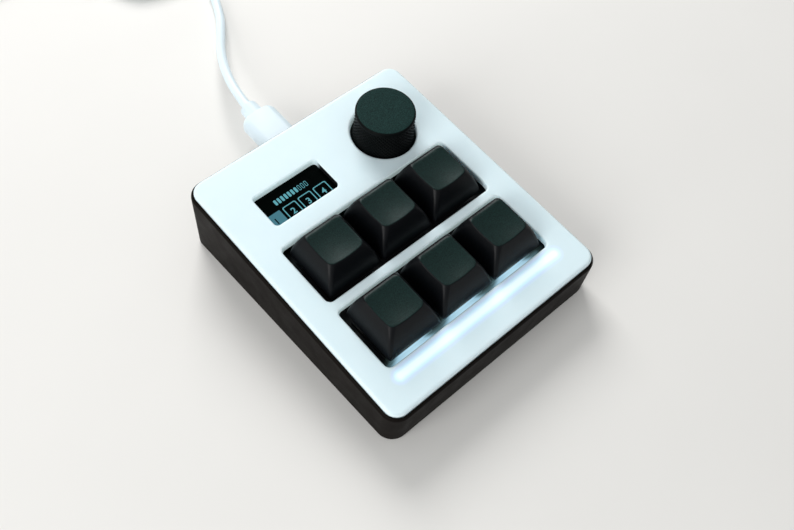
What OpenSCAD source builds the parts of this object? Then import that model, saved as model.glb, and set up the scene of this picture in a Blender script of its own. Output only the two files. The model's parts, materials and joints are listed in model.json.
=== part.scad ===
// Macro keypad: six key switches, a push-and-turn knob, a small display and a USB lead.
// The deck is built flat, with z = 0 on the top plate's upper face, +X to the right and +Y to
// the rear. on_deck() then tilts it up to the rear and sets it on the table at z = 0.

/* [Deck] */
// Width of the top plate
plate_w = 76; // [74:0.5:90]
// Depth of the top plate, front to rear
plate_d = 88.7; // [88:0.1:100]
// Corner radius of the top plate
plate_r = 4; // [2:0.5:6]
// Thickness of the top plate
plate_t = 2.2; // [1.8:0.1:2.8]
// Rounding of the top plate's upper edge
plate_edge = 1; // [0.4:0.1:1.2]
// Height of the top plate above the case rim
plate_proud = 1; // [0.6:0.1:1.4]
// Gap between the top plate and the case rim
plate_gap = 0.15; // [0.1:0.05:0.3]
// Tilt of the deck, up to the rear, in degrees
deck_tilt = 6; // [4:0.5:9]
// Height of the top plate's front edge above the table
front_h = 16.5; // [14.5:0.5:20]

/* [Case] */
// Width of the case rim outside the top plate
rim_t = 0.75; // [0.6:0.05:1.5]
// Thickness of the case walls
wall_t = 2.6; // [2:0.1:3]
// Thickness of the case floor
floor_t = 1.6; // [1.2:0.1:2]
// Rounding of the case's upper edge
rim_edge = 1.5; // [0.5:0.1:2]
// Distance of the case screws from the cavity's side walls
screw_inset_x = 3.5; // [3:0.1:3.7]
// Distance of the case screws from the cavity's front and rear walls
screw_inset_y = 3.45; // [3:0.05:3.7]
// Height of the rubber feet below the case
foot_gap = 0.6; // [0.4:0.1:1.5]
// Radius of a rubber foot
foot_r = 4; // [3:0.5:5]
// Depth of a foot's seat in the case floor
foot_seat = 0.7; // [0.4:0.1:0.9]
// Distance of the feet from the sides of the case
foot_inset_x = 14; // [12:0.5:18]
// Distance of the feet from the front and rear of the case
foot_inset_y = 15; // [13:0.5:20]

/* [Keys] */
// Distance between key columns
key_pitch = 19.05; // [19:0.05:20]
// Distance between the two key rows
row_pitch = 24.2; // [23:0.1:26]
// Distance of the front row's centre from the top plate's front edge
front_row_inset = 22.25; // [21.5:0.05:24]
// Width and depth of a keycap's skirt
cap_w = 18.2; // [17:0.1:18.4]
// Width of a keycap's top face
cap_top_w = 11.6; // [11:0.1:13]
// Depth of a keycap's top face
cap_top_d = 11.6; // [10:0.1:12]
// Distance of the top face's centre behind the skirt's centre
cap_top_shift = 1; // [0:0.1:1.2]
// Height of a front row keycap
cap_front_h = 9.1; // [8.6:0.1:11]
// Height of a rear row keycap
cap_rear_h = 8.8; // [8:0.1:10]
// Corner radius of a keycap's skirt
cap_skirt_r = 0.6; // [0.5:0.1:1.5]
// Corner radius of a keycap's top face
cap_top_r = 1.9; // [1:0.1:3]
// Depth of the dish in a keycap's top
cap_dish = 0.6; // [0.4:0.1:1.2]
// Wall thickness of a keycap
cap_wall = 1.2; // [1:0.1:1.4]
// Thickness of a keycap's roof under its dish
cap_roof = 1.4; // [1:0.1:1.6]
// Gap between a keycap row's sides and its window
key_gap_x = 1.85; // [1:0.05:2]
// Gap between a keycap row's front and rear and its window
key_gap_y = 1.5; // [1.2:0.05:1.9]
// Corner radius of a key window
window_r = 1.8; // [1:0.1:2.5]
// Chamfer round a key window
window_edge = 0.5; // [0.3:0.1:1]

/* [Switches] */
// Depth of the switch plate's upper face below the top plate's upper face
switch_plate_z = 6.8; // [6:0.1:7]
// Thickness of the switch plate
switch_plate_t = 1.5; // [1.2:0.1:1.6]
// Travel of a key
key_travel = 4; // [3:0.1:4]
// Side of a switch's square hole in the switch plate
switch_hole = 14; // [13.9:0.05:14.2]
// Height of a switch's housing below the switch plate's upper face
switch_below = 5; // [4.8:0.1:5.2]
// Height of a switch above the switch plate's upper face, without its stem
switch_above = 6.6; // [6.4:0.1:6.8]

/* [Knob] */
// Distance of the knob's axis from the top plate's rear edge
knob_inset = 18.3; // [17:0.05:20]
// Radius of the knob's hole in the top plate
knob_hole_r = 10.1; // [9.8:0.1:10.4]
// Chamfer round the knob's hole
knob_hole_edge = 0.7; // [0.3:0.1:1]
// Radius of the knob at its foot
knob_foot_r = 9.55; // [9:0.05:9.6]
// Radius of the knob at its top
knob_top_r = 8.9; // [8:0.05:9]
// Height of the knob's top above the top plate
knob_h = 9.4; // [8.5:0.1:12]
// Depth of the knob's foot below the top plate's upper face
knob_sink = 1.8; // [1:0.1:1.9]
// Push travel of the knob
knob_travel = 0.5; // [0.3:0.1:0.5]
// Radius of the encoder's shaft
shaft_r = 3; // [2.9:0.05:3.1]
// Depth of the flat on the encoder's shaft
shaft_flat = 1.5; // [1:0.1:1.6]
// Side of the encoder's square body
encoder_w = 12; // [11:0.5:13]
// Height of the encoder's body above the main board
encoder_h = 6.5; // [6.2:0.1:7]

/* [Display] */
// Distance of the display window's centre from the top plate's left edge
display_inset_x = 23.15; // [22:0.05:24.5]
// Distance of the display window's centre from the top plate's rear edge
display_inset = 19.5; // [18.5:0.25:20]
// Width of the display window
display_w = 22.5; // [21:0.1:23]
// Depth of the display window
display_d = 11.5; // [11:0.1:12.5]
// Corner radius of the display window
display_r = 1.2; // [0.8:0.1:2]
// Chamfer round the display window
display_edge = 0.5; // [0.2:0.1:0.6]
// Width of the display glass
glass_w = 24.7; // [24.5:0.1:26]
// Depth of the display glass
glass_d = 16.6; // [16:0.1:16.8]
// Thickness of the display glass
glass_t = 1.45; // [1.2:0.05:1.6]
// Width of the display's circuit board
display_board_w = 27.3; // [27:0.1:28]
// Depth of the display's circuit board
display_board_d = 26; // [25.8:0.1:26.4]

/* [Light bar] */
// Distance of the light bar's centre in front of the front key window
light_gap = 3.1; // [2.8:0.1:3.4]
// Length of the light bar
light_len = 60.6; // [54:0.2:61]
// Width of the light bar
light_w = 3; // [2:0.1:3.2]
// Thickness of the top plate's skin over the light bar
light_skin = 0.8; // [0.5:0.1:1]
// Length of the light strip's board
strip_len = 56; // [48:1:56]
// Width of the light strip's board
strip_w = 5.4; // [5.2:0.1:5.6]

/* [Lead] */
// Distance of the USB socket's axis below the top plate's upper face
usb_z = 17.1; // [16.9:0.1:17.6]
// Width of the plug grip
grip_w = 12.3; // [10:0.1:12.4]
// Thickness of the plug grip
grip_h = 6.2; // [5:0.1:6.5]
// Length of the plug grip
grip_len = 18.7; // [15:0.1:25]
// Length of the plug grip's neck
neck_len = 4.8; // [3:0.1:8]
// Length of the plug's metal shell
shell_len = 6.6; // [6:0.1:6.8]
// Diameter of the cable
cord_d = 3.2; // [2.8:0.1:3.6]

/* [Hidden] */

// General clearances
slip = 0.05;      // running fit, on the radius
seat = 0.1;       // gap round a piece that drops into its seat
press = 0.02;     // gap on the radius of a piece that is pressed or screwed in
far = 60;         // more than the object's height, for cuts that run right through
cut = 0.5;        // how far a cut runs past the face that it opens
lap = 0.2;        // how far joined shapes run into each other

// Case and deck
sin_t = sin(deck_tilt);
cos_t = cos(deck_tilt);
case_w = plate_w + 2 * (plate_gap + rim_t);
case_d = plate_d + 2 * (plate_gap + rim_t);
case_r = plate_r + plate_gap + rim_t;
inner_w = case_w - 2 * wall_t;
inner_d = case_d - 2 * wall_t;
inner_r = max(0.5, case_r - wall_t);
floor_top = foot_gap + floor_t;                       // above the table
foot_edge = 0.3;                                      // chamfer round a foot
deck_z = front_h + plate_d / 2 * sin_t;               // plate's centre above the table
front_face_y = -case_d / 2 * cos_t + (plate_proud + rim_edge) * sin_t;
rear_face_y = case_d / 2 * cos_t
    + (deck_z + case_d / 2 * sin_t - foot_gap) / cos_t * sin_t;
deck_y = -(front_face_y + rear_face_y) / 2;           // centres the case on the origin
// z of the table under deck point y, seen in the deck's own frame
function table_z(y) = -(deck_z + y * sin_t) / cos_t;
// A deck point in the frame of the table
function from_deck(p) = [
    p[0],
    deck_y + p[1] * cos_t - p[2] * sin_t,
    deck_z + p[1] * sin_t + p[2] * cos_t
];

// Keys, numbered along the rear row and then along the front row
columns = [-1, 0, 1];
front_row_y = -plate_d / 2 + front_row_inset;
rear_row_y = front_row_y + row_pitch;
function key_x(i) = columns[(i - 1) % 3] * key_pitch;
function key_y(i) = i <= 3 ? rear_row_y : front_row_y;
function cap_h(i) = i <= 3 ? cap_rear_h : cap_front_h;
function skirt_z(i) = i <= 3 ? rear_skirt_z : front_skirt_z;
window_w = 2 * key_pitch + cap_w + 2 * key_gap_x;
window_d = cap_w + 2 * key_gap_y;

// Switches, measured from the switch plate's upper face
flange_w = 15.6;                      // flange that rests on the switch plate
flange_t = 0.8;
housing_w = switch_hole - 2 * slip;
housing_floor = 0.8;                  // thickness of a housing's floor
housing_inside = -switch_below + housing_floor;
well_x = 8.9;                         // well that the stem slides in
well_y = 7.6;
stem_play = 0.15;                     // gap between a stem and its well, on each side
slider_x = well_x - 2 * stem_play;
slider_y = well_y - 2 * stem_play;
neck_x = 7.1;                         // neck of the stem, through the cover's window
neck_y = 5.7;
stem_window_x = neck_x + 2 * seat;
stem_window_y = neck_y + 2 * seat;
cover_foot_w = 14;                    // cover, at its foot and at its top
cover_top_x = 10.4;
cover_top_y = 9;
cover_t = 1;                          // thickness of a cover's ceiling
stop_gap = 0.1;                       // gap between a stem and the ceiling that stops it
slider_top = switch_above - cover_t - stop_gap;
slider_foot = housing_inside + key_travel + 0.4;
cross_len = 4;                        // cross on top of a stem
cross_x_t = 1.3;
cross_y_t = 1.1;
cross_h = 3.6;
cross_slip = 0.03;
boss_r = 2.75;                        // round boss under a keycap, which takes the cross
rear_skirt_z = 4.9;                   // a keycap's skirt above the switch plate, in each row
front_skirt_z = 5.9;
cap_bulge = 0.6;                      // how far a keycap's sides swell out at half height
cap_draft = 0.8;                      // a keycap's hollow is this much narrower than its top
cap_hollow_shift = cap_top_shift / 2; // the hollow's top behind the skirt's centre
cap_press_gap = 0.15;                 // over the switch, under a cap that is pressed home
spring_r = 2;                         // coil spring, at its wire's centre
spring_wire = 0.18;
spring_turns = 8;
pocket_r = 2.6;                       // pocket in the stem for the spring
pocket_top = 4.4;
guide_r = 1.2;                        // pin of the stem, inside the spring
collar_r = 1.55;                      // collar of the housing, round the pin
collar_top = housing_inside + 1;
guide_foot = collar_top - 0.6;
guide_end_gap = 0.2;                  // under the pin of a stem that is pressed home
post_r = 2;                           // post of the housing, through the main board
post_len = 3.3;
contact_at = [[-3.81, 2.54], [2.54, 5.08]];
contact_w = 0.9;
contact_t = 0.4;
contact_len = 3;

// Gaps round the switch plate, and round what stands in its openings
inner_gap = 0.4;
encoder_gap = 0.6;
display_gap = 0.5;

// Main board
board_t = 1.6;
board_top = -switch_plate_z - switch_below;
board_foot = board_top - board_t;
board_side_gap = 0.7;                 // gaps between the main board and the case walls
board_front_gap = 4.2;
board_rear_gap = 1;
board_w = inner_w - 2 * board_side_gap;
board_front_y = -inner_d / 2 + board_front_gap;
board_rear_y = inner_d / 2 - board_rear_gap;

// Case screws and their posts
screw_r = 1.25;
screw_head_r = 2.3;
screw_head_h = 2.2;
screw_hex_r = 1.2;                    // hexagon socket in a screw's head
screw_hex_h = 1.3;
screw_len = 8;
screw_play = 0.2;
post_wall_r = 3.8;                    // post of the case, round a screw
post_gap = 0.5;                       // gap between a post and the main board
boss_wall_r = 3;                      // boss of the top plate, round an insert
insert_r = 1.9;
insert_len = 3.4;
insert_relief = 0.8;                  // room for the screw's tip over an insert
post_top = -switch_plate_z - switch_plate_t;
screw_seat = post_top - 3.5;          // face that a screw's head pulls against
function screw_spots() = [
    for (sx = [-1, 1], sy = [-1, 1])
        [sx * (inner_w / 2 - screw_inset_x), sy * (inner_d / 2 - screw_inset_y)]
];
function foot_spots() = [
    for (sx = [-1, 1], sy = [-1, 1])
        [sx * (case_w / 2 - foot_inset_x), sy * (case_d / 2 - foot_inset_y)]
];

// Encoder and knob
knob_x = key_pitch;
knob_y = plate_d / 2 - knob_inset;
encoder_top = board_top + encoder_h;
bracket_h = 3;
bracket_foot = encoder_top - bracket_h;
bracket_wall = 1;
bushing_r = 3.5;
bushing_h = 4.4;
rotor_r = 4.5;
rotor_t = 2.2;
rotor_top = encoder_top - bracket_wall - slip;
rotor_foot = rotor_top - rotor_t;
tip_r = 2.5;                          // lower end of the shaft, which slides in the rotor
tip_flat = 0.8;
shaft_step = rotor_top + knob_travel + 0.1;
encoder_floor = 0.4;                  // floor of the encoder's body
tip_gap = 0.3;                        // under the end of a shaft that is pressed home
tip_foot = board_top + encoder_floor + tip_gap + knob_travel;
knob_roof = 3.6;                      // from the shaft's end to the knob's top
knob_seat = knob_h - knob_roof;
knob_clear = 0.5;                     // over the bushing, under a knob that is pressed home
knob_floor = encoder_top + bushing_h + knob_travel + knob_clear;
knob_recess_r = 6.6;
knob_band = 1.3;                      // smooth band at the top of the knob
knob_edge = 1;                        // chamfer at the knob's upper edge
shaft_flat_foot = knob_floor - 2 * lap;

// Display
display_x = -plate_w / 2 + display_inset_x;
display_y = plate_d / 2 - display_inset;
glass_shift = 1.75;                   // the glass's centre behind the window's
glass_y = display_y + glass_shift;
glass_top = -plate_t;
display_board_t = 1.2;
display_board_shift = 2.25;           // the board's centre behind the window's
display_board_y = display_y + display_board_shift;
display_hole_inset = 2;
display_board_top = glass_top - glass_t;
display_board_foot = display_board_top - display_board_t;
display_hole_x = display_board_w / 2 - display_hole_inset;
display_hole_y = display_board_d / 2 - display_hole_inset;
display_boss_r = 1.75;
display_screw_r = 0.8;
display_screw_len = 3;
display_screw_skin = 0.9;             // plate left over a display screw's hole
display_head_r = 1.7;
display_head_h = 1.1;
display_header_y = display_board_y + display_board_d / 2 - display_hole_inset;
function display_spots() = [
    for (sx = [-1, 1], sy = [-1, 1])
        [display_x + sx * display_hole_x, display_board_y + sy * display_hole_y]
];

// Light bar
light_y = front_row_y - window_d / 2 - light_gap;
light_top = -light_skin;
light_foot = -plate_t - 1;
strip_t = 1;
strip_foot = -switch_plate_z;
lamp_w = 5;
lamp_t = min(1.6, light_foot - strip_foot - strip_t - 0.2);

// Controller, hung under the main board on pin headers, and its USB socket
controller_w = 18;
controller_d = 33;
controller_t = 1;
socket_w = 8.94;
socket_h = 3.2;
socket_len = 7.3;
socket_wall = 0.3;
socket_r = 1.5;
socket_play = 0.3;                    // gap between the socket and its opening in the case
socket_mouth_y = case_d / 2 - 0.75;
controller_rear_y = socket_mouth_y - 2.5;
controller_foot = -usb_z + socket_h / 2;
controller_top = controller_foot + controller_t;
header_pitch = 2.54;
header_pins = 12;
header_w = 2.4;
header_h = 2.5;
display_pins = 4;
header_x = 7.62;
pin_w = 0.64;
// Chips under the controller: place, width, depth and height
chips = [[0, -2.5, 7, 7, 0.9], [-2.5, -10.5, 3.2, 2.5, 0.8], [4.5, 6, 2.9, 1.6, 1.1]];
pin_tail = 1.2;

// Lead
shell_w = 8.25;                       // metal shell of the plug
shell_h = 2.4;
shell_wall = 0.5;
shell_r = 1.1;
grip_front_y = case_d / 2 + 0.3;
grip_rear_y = grip_front_y + grip_len;
grip_r = 2.6;                         // rounding of the grip's long edges
neck_r = 3.05;
neck_end_r = 2.95;
neck_end_y = grip_rear_y + neck_len;
tongue_w = 6.5;                       // tongue in the USB socket
tongue_h = 0.7;
tongue_foot = 0.4;
tongue_len = 5.2;

// Rest of the cable: a neat coil on its tie, and the far plug behind it
coil_at = [22, 170];
coil_r = 17.5;                        // at the middle of the turns
coil_across = 4;                      // turns side by side
coil_layers = 2;
tie_t = 0.4;
tie_w = 6;
coil_foot = tie_t;
coil_h = coil_layers * cord_d;
coil_inner = coil_r - coil_across * cord_d / 2;
coil_outer = coil_r + coil_across * cord_d / 2;
far_grip_w = 15.6;
far_grip_h = 7.6;
far_grip_len = 20;
far_grip_r = 2.2;
far_neck_r = 2.8;
far_neck_end_r = 2.4;
far_neck_len = 6;
far_shell_w = 12;
far_shell_h = 4.5;
far_shell_len = 12;
far_shell_wall = 0.3;
far_tongue_t = 1.8;                   // tongue in the far plug's shell
far_tongue_gap = 2;                   // from the tongue's end to the shell's mouth
far_plug_at = [7, 192.3, 3.8];        // where the cable enters the far plug's neck

// The cable's route from the plug's neck to the coil, and from the coil to the far plug
in_neck = from_deck([0, neck_end_y - 1, -usb_z]);
cable_route = concat([in_neck], [
    [0.7, 73.8, 11.5],
    [2.6, 82, 11],
    [6, 90.8, 9.4],
    [10.7, 100, 7],
    [16.7, 109.3, 4.2],
    [22.4, 118.2, 2.3],
    [26.7, 127, 1.6],
    [30, 135.5, 1.6],
    [33.7, 144, 1.6],
    [38, 152.8, 1.7],
    [41.3, 158.9, 2]
]);
end_route = [
    [23, 192.3, 5.2],
    [19, 192.3, 5],
    [14, 192.3, 4.2],
    [10, 192.3, 3.8],
    [6, 192.3, 3.8]
];

case_black = [0.05, 0.05, 0.055];
plate_white = [0.9, 0.92, 0.93];
cap_black = [0.1, 0.11, 0.11];
steel = [0.7, 0.7, 0.72];
brass = [0.8, 0.65, 0.3];
copper = [0.8, 0.5, 0.3];
board_green = [0.05, 0.25, 0.15];
cable_white = [0.93, 0.94, 0.95];
rubber_black = [0.08, 0.08, 0.08];

// ---------------------------------------------------------------- shared shapes

// Sets deck geometry on the table
module on_deck() {
    translate([0, deck_y, deck_z]) rotate([deck_tilt, 0, 0]) children();
}

// Keeps what lies above height h over the table
module above_table(h) {
    intersection() {
        children();
        translate([-2 * far, -2 * far, h]) cube([4 * far, 4 * far, 2 * far]);
    }
}

// Outline of a rectangle with round corners, centred
function round_rect(w, d, r, steps = 6) = [
    for (q = [0:3], s = [0:steps])
        let (a = q * 90 + s * 90 / steps,
             cx = (q == 0 || q == 3 ? 1 : -1) * (w / 2 - r),
             cy = (q < 2 ? 1 : -1) * (d / 2 - r))
        [cx + r * cos(a), cy + r * sin(a)]
];

// Flat slab with round corners, standing on z = 0
module slab(w, d, r, h, steps = 6) {
    linear_extrude(h) polygon(round_rect(w, d, r, steps));
}

// A thin slab, as one level of a hull
level_t = 0.01;
module level(w, d, r, z) {
    translate([0, 0, z]) slab(w, d, r, level_t);
}

// The slab's upper edge, rounded by e, from z = -e up to z = 0
module rounded_rim(w, d, r, e) {
    hull() for (a = [0:30:90]) let (in = e * (1 - cos(a)))
        level(w - 2 * in, d - 2 * in, r - in, -e * (1 - sin(a)) - level_t);
}

// Opening through the plate with a chamfered upper edge
module plate_window(w, d, r, e) {
    translate([0, 0, -far / 2]) slab(w, d, r, far / 2 + cut);
    hull() {
        level(w, d, r, -e);
        level(w + 2 * e + 2 * cut, d + 2 * e + 2 * cut, r + e + cut, cut);
    }
}

// Bar of section w by h with round edges, running along +Y from y = 0
module bar_y(w, h, r, len) {
    rotate([90, 0, 180]) linear_extrude(len) polygon(round_rect(w, h, r, 4));
}

module at_key(i) {
    on_deck() translate([key_x(i), key_y(i), -switch_plate_z]) children();
}

module box(x, y, z0, z1) {
    translate([-x / 2, -y / 2, z0]) cube([x, y, z1 - z0]);
}

// Cylinder with a flat on its -Y side, from z0 up to z1
module d_shaft(r, flat, z0, z1) {
    difference() {
        translate([0, 0, z0]) cylinder(r = r, h = z1 - z0, $fn = 48);
        translate([-r - cut, -r - cut, z0 - cut])
            cube([2 * (r + cut), flat + cut, z1 - z0 + 2 * cut]);
    }
}

// ---------------------------------------------------------------- case

module case_body() {
    translate([0, 0, -plate_proud]) rounded_rim(case_w, case_d, case_r, rim_edge);
    translate([0, 0, -far]) slab(case_w, case_d, case_r, far - plate_proud - rim_edge);
}

module bottom_case() color(case_black) {
    difference() {
        union() {
            difference() {
                above_table(foot_gap) on_deck() case_body();
                above_table(floor_top) on_deck()
                    translate([0, 0, -far]) slab(inner_w, inner_d, inner_r, far + cut);
                on_deck() translate([0, 0, -plate_t])
                    slab(plate_w + 2 * plate_gap, plate_d + 2 * plate_gap,
                         plate_r + plate_gap, plate_t + cut);
            }
            above_table(foot_gap + floor_t / 2) on_deck() for (p = screw_spots())
                translate([p[0], p[1], -far])
                    cylinder(r = post_wall_r, h = far + post_top, $fn = 48);
        }
        on_deck() for (p = screw_spots()) translate(p) {
            translate([0, 0, -far])
                cylinder(r = screw_head_r + screw_play, h = far + screw_seat, $fn = 48);
            translate([0, 0, screw_seat - cut])
                cylinder(r = screw_r + screw_play, h = far, $fn = 48);
        }
        for (p = foot_spots()) translate([p[0], p[1], -cut])
            cylinder(r = foot_r + seat, h = foot_gap + foot_seat + cut, $fn = 48);
        on_deck() translate([0, inner_d / 2 - cut, -usb_z])
            bar_y(socket_w + 2 * socket_play, socket_h + 2 * socket_play, socket_r + socket_play,
                  wall_t + 2 * cut);
    }
}

module rubber_feet() color(rubber_black) {
    for (p = foot_spots()) translate([p[0], p[1], 0]) {
        cylinder(r1 = foot_r - foot_edge, r2 = foot_r, h = foot_edge, $fn = 48);
        translate([0, 0, foot_edge])
            cylinder(r = foot_r, h = foot_gap + foot_seat - foot_edge, $fn = 48);
    }
}

module case_screws() color(steel) {
    on_deck() for (p = screw_spots()) translate(p) difference() {
        union() {
            translate([0, 0, screw_seat])
                cylinder(r = screw_r, h = screw_len, $fn = 32);
            translate([0, 0, screw_seat - screw_head_h])
                cylinder(r = screw_head_r, h = screw_head_h, $fn = 32);
        }
        translate([0, 0, screw_seat - screw_head_h - cut])
            cylinder(r = screw_hex_r, h = cut + screw_hex_h, $fn = 6);
    }
}

// ---------------------------------------------------------------- top plate

module top_cover() color(plate_white) on_deck() {
    difference() {
        union() {
            rounded_rim(plate_w, plate_d, plate_r, plate_edge);
            translate([0, 0, -plate_t]) slab(plate_w, plate_d, plate_r, plate_t - plate_edge);
            for (p = screw_spots()) translate([p[0], p[1], -switch_plate_z])
                cylinder(r = boss_wall_r, h = switch_plate_z - plate_t + cut, $fn = 48);
            for (p = display_spots()) translate([p[0], p[1], display_board_top])
                cylinder(r = display_boss_r, h = glass_t + cut, $fn = 32);
        }
        for (y = [front_row_y, rear_row_y]) translate([0, y, 0])
            plate_window(window_w, window_d, window_r, window_edge);
        translate([display_x, display_y, 0])
            plate_window(display_w, display_d, display_r, display_edge);
        translate([knob_x, knob_y, 0]) {
            translate([0, 0, -far / 2])
                cylinder(r = knob_hole_r, h = far, $fn = 96);
            translate([0, 0, -knob_hole_edge])
                cylinder(r1 = knob_hole_r, r2 = knob_hole_r + knob_hole_edge + cut,
                         h = knob_hole_edge + cut, $fn = 96);
        }
        translate([0, light_y, -plate_t - cut])
            slab(light_len + 2 * seat, light_w + 2 * seat, 1, plate_t + cut - light_skin);
        for (p = screw_spots()) translate([p[0], p[1], -switch_plate_z - cut])
            cylinder(r = insert_r + press, h = cut + insert_len + insert_relief, $fn = 48);
        for (p = display_spots()) translate([p[0], p[1], display_board_top - cut])
            cylinder(r = display_screw_r + press, h = cut + glass_t + plate_t - display_screw_skin,
                     $fn = 32);
    }
}

module threaded_inserts() color(brass) {
    on_deck() for (p = screw_spots()) translate([p[0], p[1], -switch_plate_z]) difference() {
        cylinder(r = insert_r, h = insert_len, $fn = 48);
        translate([0, 0, -cut]) cylinder(r = screw_r + press, h = insert_len + 2 * cut, $fn = 32);
    }
}

module switch_plate() color(case_black) on_deck() translate([0, 0, -switch_plate_z]) {
    difference() {
        translate([0, 0, -switch_plate_t])
            slab(inner_w - 2 * inner_gap, inner_d - 2 * inner_gap, 2, switch_plate_t);
        for (i = [1:6]) translate([key_x(i), key_y(i), 0])
            box(switch_hole, switch_hole, -switch_plate_t - cut, cut);
        translate([knob_x, knob_y, 0])
            box(encoder_w + 2 * encoder_gap, encoder_w + 2 * encoder_gap, -switch_plate_t - cut, cut);
        translate([display_x, display_board_y, -switch_plate_t - cut])
            slab(display_board_w + 2 * display_gap, display_board_d + 2 * display_gap, 1,
                 switch_plate_t + 2 * cut);
        for (p = screw_spots()) translate([p[0], p[1], -switch_plate_t - cut])
            cylinder(r = screw_r + screw_play, h = switch_plate_t + 2 * cut, $fn = 48);
    }
}

// ---------------------------------------------------------------- circuit boards

module main_board() color(board_green) on_deck() translate([0, 0, board_foot]) {
    difference() {
        translate([0, (board_front_y + board_rear_y) / 2, 0])
            slab(board_w, board_rear_y - board_front_y, 1, board_t);
        for (p = screw_spots()) translate([p[0], p[1], -cut])
            cylinder(r = post_wall_r + post_gap, h = board_t + 2 * cut, $fn = 48);
        for (i = [1:6]) translate([key_x(i), key_y(i), 0]) {
            translate([0, 0, -cut])
                cylinder(r = post_r + seat, h = board_t + 2 * cut, $fn = 48);
            for (c = contact_at) translate(c)
                box(contact_w + 2 * seat, contact_t + 2 * seat, -cut, board_t + cut);
        }
        for (k = [0:display_pins - 1]) translate([display_pin_x(k), display_header_y, 0])
            box(pin_w + 2 * seat, pin_w + 2 * seat, -cut, board_t + cut);
    }
}

function display_pin_x(k) = display_x + (k - (display_pins - 1) / 2) * header_pitch;
function header_pin_y(k) =
    controller_rear_y - controller_d / 2 + (k - (header_pins - 1) / 2) * header_pitch;

module controller_board() color(board_green) on_deck() {
    difference() {
        translate([0, controller_rear_y - controller_d / 2, controller_foot])
            slab(controller_w, controller_d, 1, controller_t);
        for (sx = [-1, 1], k = [0:header_pins - 1])
            translate([sx * header_x, header_pin_y(k), 0])
                box(pin_w + 2 * seat, pin_w + 2 * seat, controller_foot - cut, controller_top + cut);
    }
    for (c = chips) translate([c[0], controller_rear_y - controller_d / 2 + c[1], controller_foot])
        box(c[2], c[3], -c[4], 0);
}

// Two long headers carry the controller, and a short one carries the display
module pin_headers() color(case_black) on_deck() {
    for (sx = [-1, 1]) {
        translate([sx * header_x, controller_rear_y - controller_d / 2, 0])
            box(header_w, header_pins * header_pitch, controller_top, board_foot);
        for (k = [0:header_pins - 1]) translate([sx * header_x, header_pin_y(k), 0])
            box(pin_w, pin_w, controller_foot - pin_tail, controller_top + cut);
    }
    translate([display_x, display_header_y, 0])
        box(display_pins * header_pitch, header_w, display_board_foot - header_h,
            display_board_foot);
    for (k = [0:display_pins - 1]) translate([display_pin_x(k), display_header_y, 0])
        box(pin_w, pin_w, board_foot - pin_tail, display_board_foot - header_h + cut);
}

module usb_socket() color(steel) on_deck() translate([0, socket_mouth_y - socket_len, -usb_z]) {
    difference() {
        bar_y(socket_w, socket_h, socket_r, socket_len);
        translate([0, 0.8, 0])
            bar_y(socket_w - 2 * socket_wall, socket_h - 2 * socket_wall,
                  socket_r - socket_wall, socket_len);
    }
    translate([-tongue_w / 2, tongue_foot, -tongue_h / 2])
        cube([tongue_w, tongue_len, tongue_h]);
}

// ---------------------------------------------------------------- display and light bar

module display_glass() color([0.03, 0.04, 0.06]) on_deck()
    translate([display_x, glass_y, display_board_top]) slab(glass_w, glass_d, 0.3, glass_t);

module display_board() color([0.03, 0.05, 0.2]) on_deck() {
    difference() {
        translate([display_x, display_board_y, display_board_foot])
            slab(display_board_w, display_board_d, 1, display_board_t);
        for (p = display_spots()) translate([p[0], p[1], display_board_foot - cut])
            cylinder(r = display_screw_r + 0.3, h = display_board_t + 2 * cut, $fn = 32);
    }
}

module display_screws() color(steel) on_deck() {
    for (p = display_spots()) translate([p[0], p[1], display_board_foot]) {
        cylinder(r = display_screw_r, h = display_screw_len, $fn = 32);
        translate([0, 0, -display_head_h])
            cylinder(r = display_head_r, h = display_head_h, $fn = 32);
    }
}

module light_bar() color([0.85, 0.95, 1]) on_deck()
    translate([0, light_y, light_foot]) slab(light_len, light_w, 0.9, light_top - light_foot);

module light_strip() color(plate_white) on_deck()
    translate([0, light_y, strip_foot]) slab(strip_len, strip_w, 0.5, strip_t);

module strip_lamps() color([0.95, 0.95, 0.8]) on_deck() {
    for (c = columns) translate([c * key_pitch, light_y, strip_foot + strip_t])
        slab(lamp_w, lamp_w, 0.4, lamp_t);
}

// ---------------------------------------------------------------- key switches

module switch_housing(i) color(case_black) at_key(i) {
    difference() {
        union() {
            box(housing_w, housing_w, -switch_below, flange_t);
            box(flange_w, flange_w, 0, flange_t);
            translate([0, 0, -switch_below - post_len])
                cylinder(r = post_r, h = post_len + housing_floor, $fn = 48);
        }
        box(well_x, well_y, housing_inside, flange_t + cut);
        translate([0, 0, guide_foot - key_travel - guide_end_gap])
            cylinder(r = guide_r + slip, h = far, $fn = 48);
    }
    difference() {
        translate([0, 0, housing_inside - lap])
            cylinder(r = collar_r, h = collar_top - housing_inside + lap, $fn = 48);
        translate([0, 0, housing_inside - cut])
            cylinder(r = guide_r + slip, h = far, $fn = 48);
    }
}

module switch_cover(i) color(case_black) at_key(i) {
    difference() {
        hull() {
            level(cover_foot_w, cover_foot_w, 1, flange_t);
            level(cover_top_x, cover_top_y, 1, switch_above - level_t);
        }
        box(well_x, well_y, flange_t - cut, switch_above - cover_t);
        box(stem_window_x, stem_window_y, 0, switch_above + cut);
    }
}

module stem_cross(z0, z1, play) {
    box(cross_len + 2 * play, cross_x_t + 2 * play, z0, z1);
    box(cross_y_t + 2 * play, cross_len + 2 * play, z0, z1);
}

module key_stem(i) color([0.55, 0.12, 0.1]) at_key(i) {
    difference() {
        union() {
            box(slider_x, slider_y, slider_foot, slider_top);
            box(neck_x, neck_y, slider_top - lap, switch_above);
        }
        translate([0, 0, slider_foot - cut])
            cylinder(r = pocket_r, h = pocket_top - slider_foot + cut, $fn = 48);
    }
    translate([0, 0, guide_foot])
        cylinder(r = guide_r, h = pocket_top - guide_foot + lap, $fn = 48);
    stem_cross(switch_above - lap, switch_above + cross_h, 0);
}

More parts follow.
